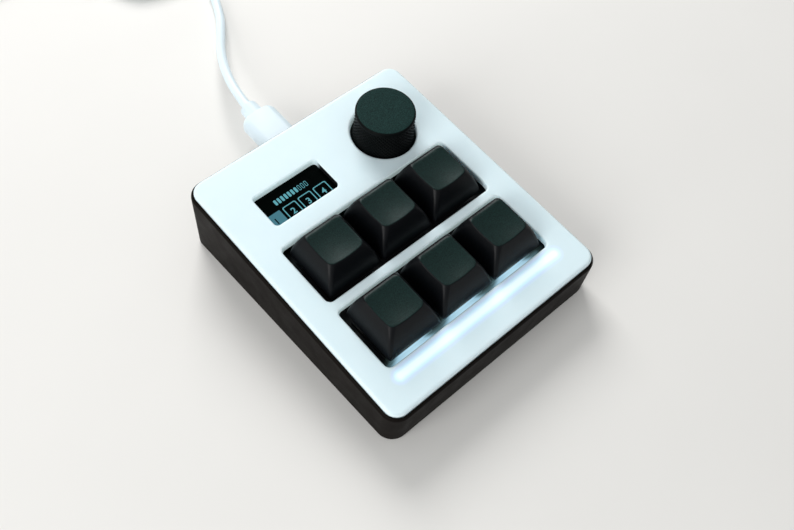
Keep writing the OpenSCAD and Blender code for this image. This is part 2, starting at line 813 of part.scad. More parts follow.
// Points of the ring of wire at turn t of the spring, which stands on z0 and ends at z1
function spring_ring(t, z0, z1) =
    let (a = t * 360,
         z = z0 + spring_wire + (z1 - z0 - 2 * spring_wire) * t / spring_turns)
    [for (s = [0:5]) let (b = s * 60 + 30)
        [(spring_r + spring_wire * cos(b)) * cos(a),
         (spring_r + spring_wire * cos(b)) * sin(a),
         z + spring_wire * sin(b)]];

// Closed tube through rings of k points each
module tube(rings) {
    n = len(rings);
    k = len(rings[0]);
    polyhedron(
        points = [for (r = rings) each r],
        faces = concat(
            [[for (s = [0:k - 1]) s]],
            [for (r = [0:n - 2], s = [0:k - 1]) let (u = (s + 1) % k)
                each [[r * k + s, (r + 1) * k + s, r * k + u],
                      [r * k + u, (r + 1) * k + s, (r + 1) * k + u]]],
            [[for (s = [k - 1:-1:0]) (n - 1) * k + s]]
        )
    );
}

module key_spring(i) color(steel) at_key(i) {
    rings_per_turn = 10;
    tube([for (r = [0:spring_turns * rings_per_turn])
        spring_ring(r / rings_per_turn, housing_inside, pocket_top)]);
}

module keycap(i) color(cap_black) at_key(i) {
    foot_z = skirt_z(i);
    top_z = foot_z + cap_h(i);
    ceiling_z = max(top_z - cap_dish - cap_roof, switch_above + key_travel + cap_press_gap);
    dish_r = (cap_top_w * cap_top_w / 4 + cap_dish * cap_dish) / (2 * cap_dish);
    waist_w = (cap_w + cap_top_w) / 2 + 2 * cap_bulge;
    waist_d = (cap_w + cap_top_d) / 2 + 2 * cap_bulge;
    difference() {
        union() {
            difference() {
                hull() {
                    level(cap_w, cap_w, cap_skirt_r, foot_z);
                    translate([0, cap_top_shift / 2, 0])
                        level(waist_w, waist_d, (cap_skirt_r + cap_top_r) / 2, (foot_z + top_z) / 2);
                    translate([0, cap_top_shift, 0])
                        level(cap_top_w, cap_top_d, cap_top_r, top_z - level_t);
                }
                hull() {
                    level(cap_w - 2 * cap_wall, cap_w - 2 * cap_wall, cap_skirt_r, foot_z - cut);
                    translate([0, cap_hollow_shift, 0])
                        level(cap_top_w - cap_draft, cap_top_d - cap_draft, cap_skirt_r, ceiling_z);
                }
            }
            translate([0, 0, switch_above])
                cylinder(r = boss_r, h = ceiling_z - switch_above + lap, $fn = 48);
        }
        stem_cross(switch_above - cut, switch_above + cross_h, cross_slip);
        translate([0, -cap_w, top_z - cap_dish + dish_r]) rotate([-90, 0, 0])
            cylinder(r = dish_r, h = 2 * cap_w, $fn = 96);
    }
}

module switch_contacts() color(copper) {
    for (i = [1:6]) at_key(i) for (c = contact_at) translate(c)
        box(contact_w, contact_t, -switch_below - contact_len, -switch_below);
}

// ---------------------------------------------------------------- encoder and knob

module at_knob() {
    on_deck() translate([knob_x, knob_y, 0]) children();
}

module encoder_base() color(case_black) at_knob() {
    difference() {
        box(encoder_w, encoder_w, board_top, bracket_foot);
        translate([0, 0, rotor_foot - slip])
            cylinder(r = rotor_r + slip, h = far, $fn = 64);
        translate([0, 0, tip_foot - knob_travel - tip_gap])
            cylinder(r = tip_r + slip, h = far, $fn = 48);
    }
}

module encoder_bracket() color(steel) at_knob() {
    difference() {
        union() {
            box(encoder_w, encoder_w, bracket_foot, encoder_top);
            translate([0, 0, encoder_top - cut])
                cylinder(r = bushing_r, h = bushing_h + cut, $fn = 64);
        }
        translate([0, 0, bracket_foot - cut])
            cylinder(r = rotor_r + slip, h = bracket_h - bracket_wall + cut, $fn = 64);
        translate([0, 0, bracket_foot])
            cylinder(r = shaft_r + slip, h = far, $fn = 64);
    }
}

module encoder_rotor() color([0.8, 0.8, 0.75]) at_knob() {
    difference() {
        translate([0, 0, rotor_foot]) cylinder(r = rotor_r, h = rotor_t, $fn = 64);
        d_shaft(tip_r + slip, tip_flat, rotor_foot - cut, rotor_top + cut);
    }
}

module encoder_shaft() color(steel) at_knob() {
    d_shaft(tip_r, tip_flat, tip_foot, shaft_step + lap);
    translate([0, 0, shaft_step])
        cylinder(r = shaft_r, h = shaft_flat_foot - shaft_step + lap, $fn = 64);
    d_shaft(shaft_r, shaft_flat, shaft_flat_foot, knob_seat);
}

module knob() color(cap_black) at_knob() {
    band_r = knob_top_r + (knob_foot_r - knob_top_r) * knob_band / (knob_h + knob_sink);
    difference() {
        rotate_extrude($fn = 96) polygon([
            [0, -knob_sink],
            [knob_foot_r, -knob_sink],
            [band_r, knob_h - knob_band],
            [knob_top_r, knob_h - knob_edge],
            [knob_top_r - knob_edge, knob_h],
            [0, knob_h]
        ]);
        translate([0, 0, -knob_sink - cut])
            cylinder(r = knob_recess_r, h = knob_floor + knob_sink + cut, $fn = 64);
        d_shaft(shaft_r + press, shaft_flat, knob_floor - cut, knob_seat);
    }
}

// ---------------------------------------------------------------- lead

module plug_shell() color(steel) on_deck() translate([0, grip_front_y, -usb_z]) {
    rotate([0, 0, 180]) difference() {
        bar_y(shell_w, shell_h, shell_r, shell_len);
        translate([0, 0.8, 0])
            bar_y(shell_w - 2 * shell_wall, shell_h - 2 * shell_wall, shell_r - shell_wall,
                  shell_len);
    }
}

module plug_grip() color(cable_white) on_deck() translate([0, grip_front_y, -usb_z]) {
    bar_y(grip_w, grip_h, grip_r, grip_len);
    translate([0, grip_len - cut, 0]) rotate([-90, 0, 0])
        cylinder(r1 = neck_r, r2 = neck_end_r, h = neck_len + cut, $fn = 32);
}

// Smooth curve through the points p, with n rings from each point to the next
function route(p, n) = [
    for (i = [0:len(p) - 2], s = [0:n - 1]) blend_at(p, i, s / n),
    p[len(p) - 1]
];
function blend_at(p, i, t) =
    let (a = p[max(i - 1, 0)], b = p[i], c = p[i + 1], d = p[min(i + 2, len(p) - 1)])
    0.5 * (2 * b + (c - a) * t + (2 * a - 5 * b + 4 * c - d) * t * t
        + (3 * b - a - 3 * c + d) * t * t * t);
function unit(v) = v / norm(v);

// Ring of eight points round the path q at its point i
function cord_ring(q, i) =
    let (way = unit(q[min(i + 1, len(q) - 1)] - q[max(i - 1, 0)]),
         side = unit(cross([0, 0, 1], way)),
         up = cross(way, side))
    [for (s = [0:7]) let (a = s * 45 + 22.5)
        q[i] + cord_d / 2 * (cos(a) * side + sin(a) * up)];

module cord(points, steps) {
    q = route(points, steps);
    tube([for (i = [0:len(q) - 1]) cord_ring(q, i)]);
}

module usb_cable() color(cable_white) cord(cable_route, 2);

module cable_end() color(cable_white) cord(end_route, 2);

module cable_coil() color(cable_white)
    translate([coil_at[0], coil_at[1], coil_foot]) difference() {
        cylinder(r = coil_outer, h = coil_h, $fn = 96);
        translate([0, 0, -cut]) cylinder(r = coil_inner, h = coil_h + 2 * cut, $fn = 96);
    }

module cable_tie() color(case_black)
    translate([coil_at[0] - (coil_inner + coil_outer) / 2, coil_at[1], 0]) difference() {
        band = coil_outer - coil_inner + 1;
        box(band + 2 * tie_t, tie_w, 0, coil_h + coil_foot + tie_t);
        box(band, tie_w + 2 * cut, coil_foot, coil_h + coil_foot);
    }

module far_plug_grip() color(cable_white) translate(far_plug_at) rotate([0, 0, 90]) {
    rotate([-90, 0, 0])
        cylinder(r1 = far_neck_end_r, r2 = far_neck_r, h = far_neck_len + cut, $fn = 32);
    translate([0, far_neck_len, 0]) bar_y(far_grip_w, far_grip_h, far_grip_r, far_grip_len);
}

module far_plug_shell() color(steel)
    translate(far_plug_at) rotate([0, 0, 90])
        translate([0, far_neck_len + far_grip_len, 0]) {
            difference() {
                bar_y(far_shell_w, far_shell_h, 0.5, far_shell_len);
                translate([0, 1, 0])
                    bar_y(far_shell_w - 2 * far_shell_wall, far_shell_h - 2 * far_shell_wall,
                          0.3, far_shell_len);
            }
            tongue_side = far_shell_w / 2 - far_shell_wall - seat;
            translate([-tongue_side, 0.8, 0])
                cube([2 * tongue_side, far_shell_len - far_tongue_gap, far_tongue_t]);
        }

// ---------------------------------------------------------------- assembly

bottom_case();
top_cover();
switch_plate();
main_board();
for (i = [1:6]) keycap(i);
for (i = [1:6]) key_stem(i);
for (i = [1:6]) key_spring(i);
for (i = [1:6]) switch_housing(i);
for (i = [1:6]) switch_cover(i);
switch_contacts();
encoder_base();
encoder_bracket();
encoder_rotor();
encoder_shaft();
knob();
display_glass();
display_board();
display_screws();
controller_board();
pin_headers();
usb_socket();
light_strip();
strip_lamps();
light_bar();
threaded_inserts();
case_screws();
rubber_feet();
plug_shell();
plug_grip();
usb_cable();
cable_coil();
cable_end();
cable_tie();
far_plug_grip();
far_plug_shell();
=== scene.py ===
"""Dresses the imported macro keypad: camera, lead, moulded pieces, display picture, materials, light.

The pieces on the deck are laid out in the deck's own frame, in millimetres: z = 0 on the top
plate's upper face, +X to the right, +Y to the rear. DECK carries that frame onto the tilted deck.
The lead is laid out in the row frame, in millimetres, and ROW turns it into metres.
"""

import json
import math

import bmesh
import bpy
from mathutils import Matrix, Vector
from mathutils.geometry import tessellate_polygon


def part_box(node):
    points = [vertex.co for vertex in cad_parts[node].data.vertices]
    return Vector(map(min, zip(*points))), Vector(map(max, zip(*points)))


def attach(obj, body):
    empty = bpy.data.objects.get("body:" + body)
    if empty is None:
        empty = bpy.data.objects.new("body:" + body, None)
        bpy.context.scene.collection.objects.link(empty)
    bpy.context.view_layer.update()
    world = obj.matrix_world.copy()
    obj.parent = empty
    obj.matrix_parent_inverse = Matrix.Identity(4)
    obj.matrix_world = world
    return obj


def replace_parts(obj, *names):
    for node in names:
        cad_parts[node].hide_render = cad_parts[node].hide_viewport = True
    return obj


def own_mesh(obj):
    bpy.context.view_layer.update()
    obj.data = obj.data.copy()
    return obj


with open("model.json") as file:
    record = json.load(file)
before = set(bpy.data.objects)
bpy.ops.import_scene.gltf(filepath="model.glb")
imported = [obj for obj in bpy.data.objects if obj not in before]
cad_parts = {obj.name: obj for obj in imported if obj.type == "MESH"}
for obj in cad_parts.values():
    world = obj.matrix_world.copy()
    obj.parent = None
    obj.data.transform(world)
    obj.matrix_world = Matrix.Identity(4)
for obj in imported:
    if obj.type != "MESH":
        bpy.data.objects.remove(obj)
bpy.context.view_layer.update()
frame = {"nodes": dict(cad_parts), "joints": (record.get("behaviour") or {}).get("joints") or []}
nodes = frame["nodes"]
joints = {joint["name"]: joint for joint in frame["joints"]}

# ------------------------------------ the deck's frame

MM = 0.001
ROW = Matrix.Scale(MM, 4)
press_axis = Vector(joints["key_1_press"]["axis"])
tilt = math.atan2(press_axis.y, -press_axis.z)
LEVEL = Matrix.Rotation(-tilt, 4, "X")


def span(points):
    """The lowest and highest corner round points."""
    columns = list(zip(*points))
    return Vector(map(min, columns)), Vector(map(max, columns))


def node_span(name, turned):
    """The corners round a CAD node's points, seen through a matrix."""
    return span([turned @ vertex.co for vertex in nodes[name].data.vertices])


level_low, level_high = node_span("top_cover", LEVEL)
deck_origin = (level_low + level_high) / 2
deck_origin.z = level_high.z
DECK = LEVEL.inverted() @ Matrix.Translation(deck_origin) @ ROW
FROM_ROW = DECK.inverted()
deck_height = (DECK @ Vector((0, 0, 0))).z / MM


def deck_box(name):
    """The corners of a CAD node in the deck's frame, in millimetres."""
    return node_span(name, FROM_ROW)


def middle(low, high):
    """The x and y halfway between two corners."""
    return (low.x + high.x) / 2, (low.y + high.y) / 2


def over_table(y, height):
    """The deck's z at depth y, where it is that height over the table."""
    return (height - deck_height - y * math.sin(tilt)) / math.cos(tilt)


# ------------------------------------ sizes that the solids don't tell

PLATE_LOW, PLATE_HIGH = deck_box("top_cover")
PLATE_R = 4
PLATE_EDGE = 1
PLATE_PROUD = 1          # how far the plate stands over the case's rim
PLATE_T = 2.2
PLATE_GAP = 0.15         # between the plate and the rim
RIM_T = 0.75
RIM_EDGE = 1.5
WALL_T = 2.6
FLOOR_T = 1.6
CASE_FOOT_EDGE = 0.4
WINDOW_R = 1.8
WINDOW_EDGE = 0.5
KEY_GAP_X = 1.85         # between the keycaps and their window
KEY_GAP_Y = 1.5
KEY_PITCH = 19.05
CAP_TOP_W = 11.6
CAP_TOP_D = 11.6
CAP_TOP_R = 1.9
CAP_TOP_SHIFT = 1        # how far the top stands behind the skirt's centre
CAP_SKIRT_R = 0.6
CAP_WALL = 1.2
CAP_ROOF = 1.4
CAP_DISH = 0.6           # how far the top rises to its left and right edges
CAP_BOW = 0.45           # how far it rises to its front and rear edges
CAP_BULGE = 0.6          # how far a side swells out at half its height
CAP_CORNER_TURN = 5      # power that keeps the sides' edges sharp until close to the top
CAP_EDGE = 0.45          # soft edge round the top, at the left and right
CAP_REAR_EDGE = 1.4
CAP_FRONT_EDGE = 0.3
KNOB_HOLE_R = 9.95
KNOB_HOLE_EDGE = 0.85
KNOB_TOP_R = 8.9
KNOB_BAND = 1.3          # smooth band over the knurl
KNOB_EDGE = 0.7
KNOB_FLARE = 1.8         # power that makes the side slightly hollow
DISPLAY_INSET_X = 23.15  # of the window's centre from the plate's left edge
DISPLAY_INSET_Y = 19.5   # and from its rear edge
DISPLAY_CENTRE = (PLATE_LOW.x + DISPLAY_INSET_X, PLATE_HIGH.y - DISPLAY_INSET_Y)
DISPLAY_W = 22.5
DISPLAY_D = 11.5
DISPLAY_R = 1.2
DISPLAY_EDGE = 0.5

# ------------------------------------ meshes


def arc(steps, start=0, end=90):
    """Angles in radians from start to end, in degrees."""
    return [math.radians(start + (end - start) * s / steps) for s in range(steps + 1)]


def round_rect(w, d, r, steps=8, along=1):
    """Outline of a centred rectangle with round corners, counterclockwise.

    Each straight side has that many parts along it.
    """
    corners = ((1, 1, 0), (-1, 1, 90), (-1, -1, 180), (1, -1, 270))
    arcs = [
        [(sx * (w / 2 - r) + r * math.cos(a), sy * (d / 2 - r) + r * math.sin(a))
         for a in arc(steps, start, start + 90)]
        for sx, sy, start in corners
    ]
    outline = []
    for corner, following in zip(arcs, arcs[1:] + arcs[:1]):
        (x0, y0), (x1, y1) = corner[-1], following[0]
        outline += corner
        outline += [(x0 + (x1 - x0) * s / along, y0 + (y1 - y0) * s / along) for s in range(1, along)]
    return outline


def circle(r, steps=96):
    return [(r * math.cos(a), r * math.sin(a)) for a in arc(steps, 0, 360)[:-1]]


def level_ring(outline, z, centre=(0, 0)):
    return [(x + centre[0], y + centre[1], z) for x, y in outline]


def upright_ring(outline, y, centre=(0, 0)):
    """A ring across the Y axis; the outline's second number is its height."""
    return [(x + centre[0], y, z + centre[1]) for x, z in outline]


def rounding(edge, steps=5):
    """(inset, depth) down a quarter-round edge, from its upper face to its side."""
    return [(edge * (1 - math.sin(a)), -edge * (1 - math.cos(a))) for a in arc(steps)]


class Shell:
    """The points and faces of one piece, built up from rings."""

    def __init__(self):
        self.points = []
        self.faces = []

    def ring(self, points):
        """Adds a ring and returns its points' numbers."""
        start = len(self.points)
        self.points += points
        return list(range(start, len(self.points)))

    def band(self, a, b):
        n = len(a)
        self.faces += [(a[i], a[(i + 1) % n], b[(i + 1) % n], b[i]) for i in range(n)]

    def loft(self, rings):
        """Bands through all the rings; returns the first and the last."""
        numbered = [self.ring(ring) for ring in rings]
        for a, b in zip(numbered, numbered[1:]):
            self.band(a, b)
        return numbered[0], numbered[-1]

    def solid(self, rings):
        """A loft that is closed at both ends."""
        for ring in self.loft(rings):
            self.faces.append(tuple(ring))
        return self

    def fill(self, outer, holes=()):
        """Flat faces between a ring and the holes in it."""
        loops = [outer, *holes]
        numbers = [i for loop in loops for i in loop]
        places = [[Vector(self.points[i]) for i in loop] for loop in loops]
        self.faces += [tuple(numbers[i] for i in t) for t in tessellate_polygon(places)]

    def piece(self, name, surface, body, place=DECK, sharp=35):
        """The finished object, which rides on a body."""
        mesh = bpy.data.meshes.new(name)
        mesh.from_pydata([place @ Vector(p) for p in self.points], [], self.faces)
        work = bmesh.new()
        work.from_mesh(mesh)
        bmesh.ops.recalc_face_normals(work, faces=work.faces)
        work.to_mesh(mesh)
        work.free()
        return finished(bpy.data.objects.new(name, mesh), surface, body, sharp)


def finished(obj, surface, body, sharp=35):
    """Gives a mesh its material, soft shading and body."""
    mesh = obj.data
    mesh.materials.append(surface.material)
    mesh.shade_smooth()
    mesh.set_sharp_from_angle(angle=math.radians(sharp))
    bpy.context.scene.collection.objects.link(obj)
    normals = obj.modifiers.new("normals", "WEIGHTED_NORMAL")
    normals.keep_sharp = True
    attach(obj, body)
    return obj


def carve(obj, shell, operation, place=DECK):
    """Cuts a shell out of a piece, or joins it to the piece."""
    tool = shell.piece("tool", PLAIN, "case", place)
    change = obj.modifiers.new("carve", "BOOLEAN")
    change.operation = operation
    change.solver = "EXACT"
    change.object = tool
    with bpy.context.temp_override(object=obj, active_object=obj):
        bpy.ops.object.modifier_move_to_index(modifier=change.name, index=0)
        bpy.ops.object.modifier_apply(modifier=change.name)
    bpy.data.objects.remove(tool)


def post(r, low, high, centre):
    """An upright cylinder on the deck."""
    return Shell().solid([level_ring(circle(r, 48), z, centre) for z in (low, high)])


# ------------------------------------ materials

PAINTED_TOP_FACING = (0.9, 0.98)         # how far a face looks up, where the painted light on the top faces starts and is full
TOP_SHEEN = (0.55, 1.0, 0.95)    # painted green tint on the highlights of the top faces
SPECKLE_SIZE = 0.3
SPECKLE = (0.72, 1.2)            # darkest and lightest speckle, as shares of the top faces' painted lighter colour


def tint(red, green, blue):
    """A colour as 0 to 255 on a screen, as Blender's linear values."""
    return [((c / 255 + 0.055) / 1.055) ** 2.4 if c > 10 else c / 3295 for c in (red, green, blue)]


class Surface:
    """A procedural material: a Principled shader and the nodes that feed it.

    Colours are given as 0 to 255 on a screen.
    """

    def __init__(self, name, colour, roughness, slot=True, **sockets):
        self.slot = name if slot else None
        self.material = bpy.data.materials.new(name)
        self.material.use_nodes = True
        self.tree = self.material.node_tree
        self.shader = next(n for n in self.tree.nodes if n.type == "BSDF_PRINCIPLED")
        self.colour = tint(*colour)
        self.material.diffuse_color = (*self.colour, 1)
        self.set("Base Color", (*self.colour, 1))
        self.set("Roughness", roughness)
        for socket, value in sockets.items():
            self.set(socket.replace("_", " ").title().replace("Ior", "IOR"), value)

    def set(self, socket, value):
        self.shader.inputs[socket].default_value = value

    def glow(self, colour, strength):
        """Makes the surface shine."""
        self.set("Emission Color", (*tint(*colour), 1))
        self.set("Emission Strength", strength)
        return self

    def add(self, kind, **settings):
        node = self.tree.nodes.new("ShaderNode" + kind)
        for name, value in settings.items():
            setattr(node, name, value)
        return node

    def link(self, output, target):
        self.tree.links.new(output, target)

    def drive(self, socket, output):
        """Lets a node's output drive one of the shader's sockets."""
        self.link(output, self.shader.inputs[socket])

    def driver(self, socket):
        """The output that drives one of the shader's sockets."""
        return self.shader.inputs[socket].links[0].from_socket

    def feed(self, node, *values):
        """Links or sets a node's first inputs, and returns its first output."""
        for socket, value in zip(node.inputs, values):
            if isinstance(value, bpy.types.NodeSocket):
                self.link(value, socket)
            else:
                socket.default_value = value
        return node.outputs[0]

    def math(self, operation, *values):
        return self.feed(self.add("Math", operation=operation), *values)

    def mix(self, share, first, second, blend="MIX"):
        return self.feed(self.add("MixRGB", blend_type=blend), share, first, second)

    def noise(self, size_mm, detail, stretch=(1, 1, 1)):
        """Noise with features of about that size."""
        where = self.add("TexCoord").outputs["Object"]
        scaled = self.add("Mapping")
        scaled.inputs["Scale"].default_value = stretch
        self.link(where, scaled.inputs["Vector"])
        noise = self.add("TexNoise")
        noise.inputs["Scale"].default_value = 1 / (size_mm * MM)
        noise.inputs["Detail"].default_value = detail
        self.link(scaled.outputs[0], noise.inputs["Vector"])
        return noise.outputs[0]

    def ramp(self, value, stops):
        """A colour ramp of (position, colour or grey) stops."""
        ramp = self.add("ValToRGB")
        elements = ramp.color_ramp.elements
        while len(elements) < len(stops):
            elements.new(0.5)
        for element, (position, colour) in zip(elements, stops):
            element.position = position
            element.color = (*colour, 1) if isinstance(colour, (tuple, list)) else (colour,) * 3 + (1,)
        self.link(value, ramp.inputs[0])
        return ramp.outputs[0]

    def drift(self, socket, size_mm, detail, low, high):
        """Lets one of the shader's values drift between two, over features of about that size."""
        self.drive(socket, self.ramp(self.noise(size_mm, detail), [(0.3, low), (0.7, high)]))
        return self

    def mottle(self, size_mm, share):
        """Lets the colour drift lighter and darker by a share."""
        low = [c * (1 - share) for c in self.colour]
        high = [min(1, c * (1 + share)) for c in self.colour]
        return self.drift("Base Color", size_mm, 4, low, high)

    def polish(self, size_mm, low, high):
        """Lets the roughness drift between two values."""
        return self.drift("Roughness", size_mm, 3, low, high)

    def grain(self, size_mm, depth_mm, strength=1.0, stretch=(1, 1, 1)):
        """Raises a fine grain on the surface."""
        bump = self.add("Bump")
        bump.inputs["Strength"].default_value = strength
        bump.inputs["Distance"].default_value = depth_mm * MM
        self.link(self.noise(size_mm, 3, stretch), bump.inputs["Height"])
        self.drive("Normal", bump.outputs[0])
        return self

    def facing(self, direction):
        """How far the surface faces that way, seen from the deck."""
        dot = self.add("VectorMath", operation="DOT_PRODUCT")
        self.link(self.add("NewGeometry").outputs["Normal"], dot.inputs[0])
        dot.inputs[1].default_value = LEVEL.inverted() @ direction
        return dot.outputs["Value"]

    def paint_lit_tops(self, colour):
        """Paints what faces up from the deck lighter and greener than the sides as painted light, with
        a real speckle in it, and tints its highlights green as a painted sheen.
        """
        begin, end = PAINTED_TOP_FACING
        up = self.facing(Vector((0, 0, 1)))
        share = self.ramp(up, [(begin, 0.0), (end, 1.0)])
        self.drive("Specular Tint", self.ramp(up, [(begin, 1.0), (end, TOP_SHEEN)]))
        dark, light = (tint(*(c * s for c in colour)) for s in SPECKLE)
        speckle = self.ramp(self.noise(SPECKLE_SIZE, 2), [(0.35, dark), (0.65, light)])
        self.drive("Base Color", self.mix(share, self.driver("Base Color"), speckle))
        return self

    def deck_place(self):
        """The x and y of a point in the deck's frame, in millimetres."""
        mapping = self.add("Mapping", vector_type="POINT")
        mapping.inputs["Scale"].default_value = (1 / MM,) * 3
        mapping.inputs["Rotation"].default_value = (-tilt, 0, 0)
        mapping.inputs["Location"].default_value = -deck_origin / MM
        self.link(self.add("TexCoord").outputs["Object"], mapping.inputs["Vector"])
        split = self.add("SeparateXYZ")
        self.link(mapping.outputs[0], split.inputs[0])
        return split.outputs[0], split.outputs[1]


# For tools, which don't stay in the scene.
PLAIN = Surface("plain", (200, 200, 200), 0.5, slot=False)

case_black = Surface("case_black", (20, 17, 15), 0.45, specular_ior_level=0.02)
case_black.mottle(9, 0.12).polish(5, 0.4, 0.5).grain(0.25, 0.02)

plate_white = Surface(
    "plate_white",
    (221, 238, 243),
    0.45,
    specular_ior_level=0.3,
    subsurface_weight=0.5,
    subsurface_radius=(1, 1, 1),
    subsurface_scale=1.5 * MM,
)
plate_white.mottle(14, 0.012).polish(6, 0.36, 0.46).grain(0.3, 0.01, 0.6)

keycap_black = Surface(
    "keycap_black",
    (8, 10, 13),
    0.5,
    specular_ior_level=0.07,
    coat_weight=0.16,
    coat_roughness=0.32,
)
# the top faces are painted lighter and greener than the near-black sides as painted light; the speckle
# in them is real grain
keycap_black.mottle(0.25, 0.3).paint_lit_tops((18, 34, 32)).polish(1.5, 0.38, 0.48).grain(0.22, 0.035)

knob_black = Surface("knob_black", (6, 9, 9), 0.45, specular_ior_level=0.06)
# the knob's top faces are painted lighter and greener than its sides as painted light; the speckle in
# them is real grain
knob_black.mottle(0.3, 0.4).paint_lit_tops((24, 44, 42)).polish(1, 0.45, 0.6).grain(0.28, 0.06)

cable_white = Surface("cable_white", (221, 236, 243), 0.38, specular_ior_level=0.45)
cable_white.mottle(8, 0.015).polish(3, 0.32, 0.45).grain(0.5, 0.01, 0.5)

tie_black = Surface("tie_black", (30, 30, 32), 0.85)
tie_black.mottle(0.6, 0.35).grain(0.35, 0.12)

steel = Surface("steel", (196, 198, 202), 0.28, metallic=1.0)
steel.mottle(2, 0.05).polish(0.6, 0.22, 0.36).grain(0.15, 0.004, stretch=(1, 0.1, 1))

spring_steel = Surface("spring_steel", (190, 190, 186), 0.25, metallic=1.0)
spring_steel.mottle(0.8, 0.06).polish(0.5, 0.2, 0.32)

display_glass = Surface("display_glass", (1, 4, 3), 0.12, specular_ior_level=0.02)
display_glass.mottle(4, 0.2).polish(3, 0.1, 0.16)

# ------------------------------------ camera

VIEW_TARGET = (0.28, -3.27, 1.47)
VIEW_DISTANCE = 267.6
VIEW_AZIMUTH = -42.65
VIEW_ELEVATION = 56.35
VIEW_ROLL = 1.36
LENS = 40.69


def make_camera():
    azimuth = math.radians(VIEW_AZIMUTH)
    elevation = math.radians(VIEW_ELEVATION)
    back = Vector((
        math.sin(azimuth) * math.cos(elevation),
        -math.cos(azimuth) * math.cos(elevation),
        math.sin(elevation),
    ))
    data = bpy.data.cameras.new("camera")
    data.lens = LENS
    data.clip_start = 0.01
    camera = bpy.data.objects.new("camera", data)
    turn = (-back).to_track_quat("-Z", "Y").to_matrix().to_4x4()
    place = Matrix.Translation(ROW @ (Vector(VIEW_TARGET) + VIEW_DISTANCE * back))
    camera.matrix_world = place @ turn @ Matrix.Rotation(math.radians(VIEW_ROLL), 4, "Z")
    bpy.context.scene.collection.objects.link(camera)
    bpy.context.scene.camera = camera


# ------------------------------------ lead

CORD_D = 3.2
CORD_SUNK = 1                           # how far the cable starts inside the neck
USB_Z = -17.1
GRIP_R = 2.6
GRIP_LEN = 18.7
GRIP_END_R = 1.8
GRIP_EDGE = 0.3                         # soft edge of a grip's front face
GRIP_FALL = 1.1                         # height that a grip's end loses for each mm that it turns in
NECK_LEN = 4.8
NECK_R = 3.05
NECK_END_R = 2.95
NECK_STRAIGHT = 0.8                     # a neck's straight start
NECK_ROOM = 0.1                         # of the grip's end over the neck
NECK_EDGE = 0.5

COIL_AT = (22, 170)
COIL_R = 22.3                           # radius of the outermost turn
COIL_ACROSS = 4                         # turns side by side
COIL_LAYERS = (2, 5.2)                  # height of each layer
COIL_START = 330                        # degrees, where the cable runs in
COIL_END = 90                           # degrees, where it runs out
COIL_POINT = 6                          # degrees between two points
STEP_IN = 280                           # degrees, where each lower turn steps inwards
CLIMB = 240                             # degrees, where the cable climbs to the upper layer
STEP_OUT = 200                          # degrees, where each upper turn steps outwards
STEP = 40                               # degrees that such a step takes

FAR_PLUG_AT = (7, 192.3, 3.8)
FAR_NECK_LEN = 6
FAR_NECK_R = 2.8
FAR_NECK_END_R = 2.4
FAR_GRIP_W = 15.6
FAR_GRIP_H = 7.6
FAR_GRIP_LEN = 20
FAR_GRIP_R = 2.2
FAR_GRIP_END_R = 2.2
FAR_SHELL_W = 12
FAR_SHELL_H = 4.5
FAR_SHELL_LEN = 12
FAR_SHELL_R = 0.6
FAR_SHELL_T = 0.3
FAR_SHELL_SUNK = 0.5                    # in the grip
FAR_SHELL_FLOOR = 1                     # where the shell's hollow ends
LATCH_X = 2.6                           # the dark latch holes in the shell's faces
LATCH_Y = 6.5
LATCH_W = 2.2
LATCH_D = 2.4
LATCH_R = 0.3
LATCH_T = 0.17
LATCH_PROUD = 0.02
TONGUE_W = 11                           # the white tongue in the shell
TONGUE_H = 1.8
TONGUE_R = 0.2
TONGUE_Z = 0.9
TONGUE_END = 10.5
FAR_PLUG = ROW @ Matrix.Translation(FAR_PLUG_AT) @ Matrix.Rotation(math.radians(90), 4, "Z")

STRAP_T = 0.7                           # the tie round the coil
STRAP_R = 2.2
STRAP_EDGE = 0.15
STRAP_EDGE_D = 0.2

grip_low, grip_high = deck_box("plug_grip")
IN_THE_NECK = FROM_ROW.inverted() @ Vector((0, grip_high.y - CORD_SUNK, USB_Z)) / MM
TO_THE_COIL = [
    (0.7, 73.8, 11.5),
    (2.6, 82, 11),
    (6, 90.8, 9.4),
    (10.7, 100, 7),
    (16.7, 109.3, 4.2),
    (22.4, 118.2, 2.3),
    (26.7, 127, 1.6),
    (30, 135.5, 1.6),
    (33.7, 144, 1.6),
    (38, 152.8, 1.7),
    (41.3, 158.9, 2),
]
TO_THE_FAR_PLUG = [
    (23, 192.3, 5.2),
    (19, 192.3, 5),
    (14, 192.3, 4.2),
    (10, 192.3, 3.8),
    (6, 192.3, 3.8),
]


def smooth(points, steps=6):
    """A smooth curve through the points."""
    points = [Vector(p) for p in points]
    curve = []
    for i in range(len(points) - 1):
        a, b, c, d = (points[max(0, min(k, len(points) - 1))] for k in range(i - 1, i + 3))
        for s in range(steps):
            t = s / steps
            curve.append(
                0.5 * (2 * b + (c - a) * t + (2 * a - 5 * b + 4 * c - d) * t**2
                       + (3 * b - a - 3 * c + d) * t**3)
            )
    return curve + [points[-1]]


def ease(share):
    share = max(0, min(1, share))
    return share * share * (3 - 2 * share)


def coil():
    """The coil's turns: the lower layer from the outside in, then the upper one outwards."""
    across = COIL_ACROSS - 1
    steps_in = [STEP_IN + 360 * (k + 1) for k in range(across)]
    climb = CLIMB + 360 * (across + 1)
    steps_out = [STEP_OUT + 360 * (across + 2 + k) for k in range(across)]
    end = COIL_END + 360 * (2 * across + 2)
    points = []
    for angle in range(COIL_START + COIL_POINT, end, COIL_POINT):
        inwards = sum(ease((angle - start) / STEP) for start in steps_in)
        outwards = sum(ease((angle - start) / STEP) for start in steps_out)
        radius = COIL_R - CORD_D * (inwards - outwards)
        rise = ease((angle - climb) / STEP)
        height = COIL_LAYERS[0] + (COIL_LAYERS[1] - COIL_LAYERS[0]) * rise
        a = math.radians(angle)
        points.append(Vector((
            COIL_AT[0] + radius * math.cos(a), COIL_AT[1] + radius * math.sin(a), height
        )))
    return points


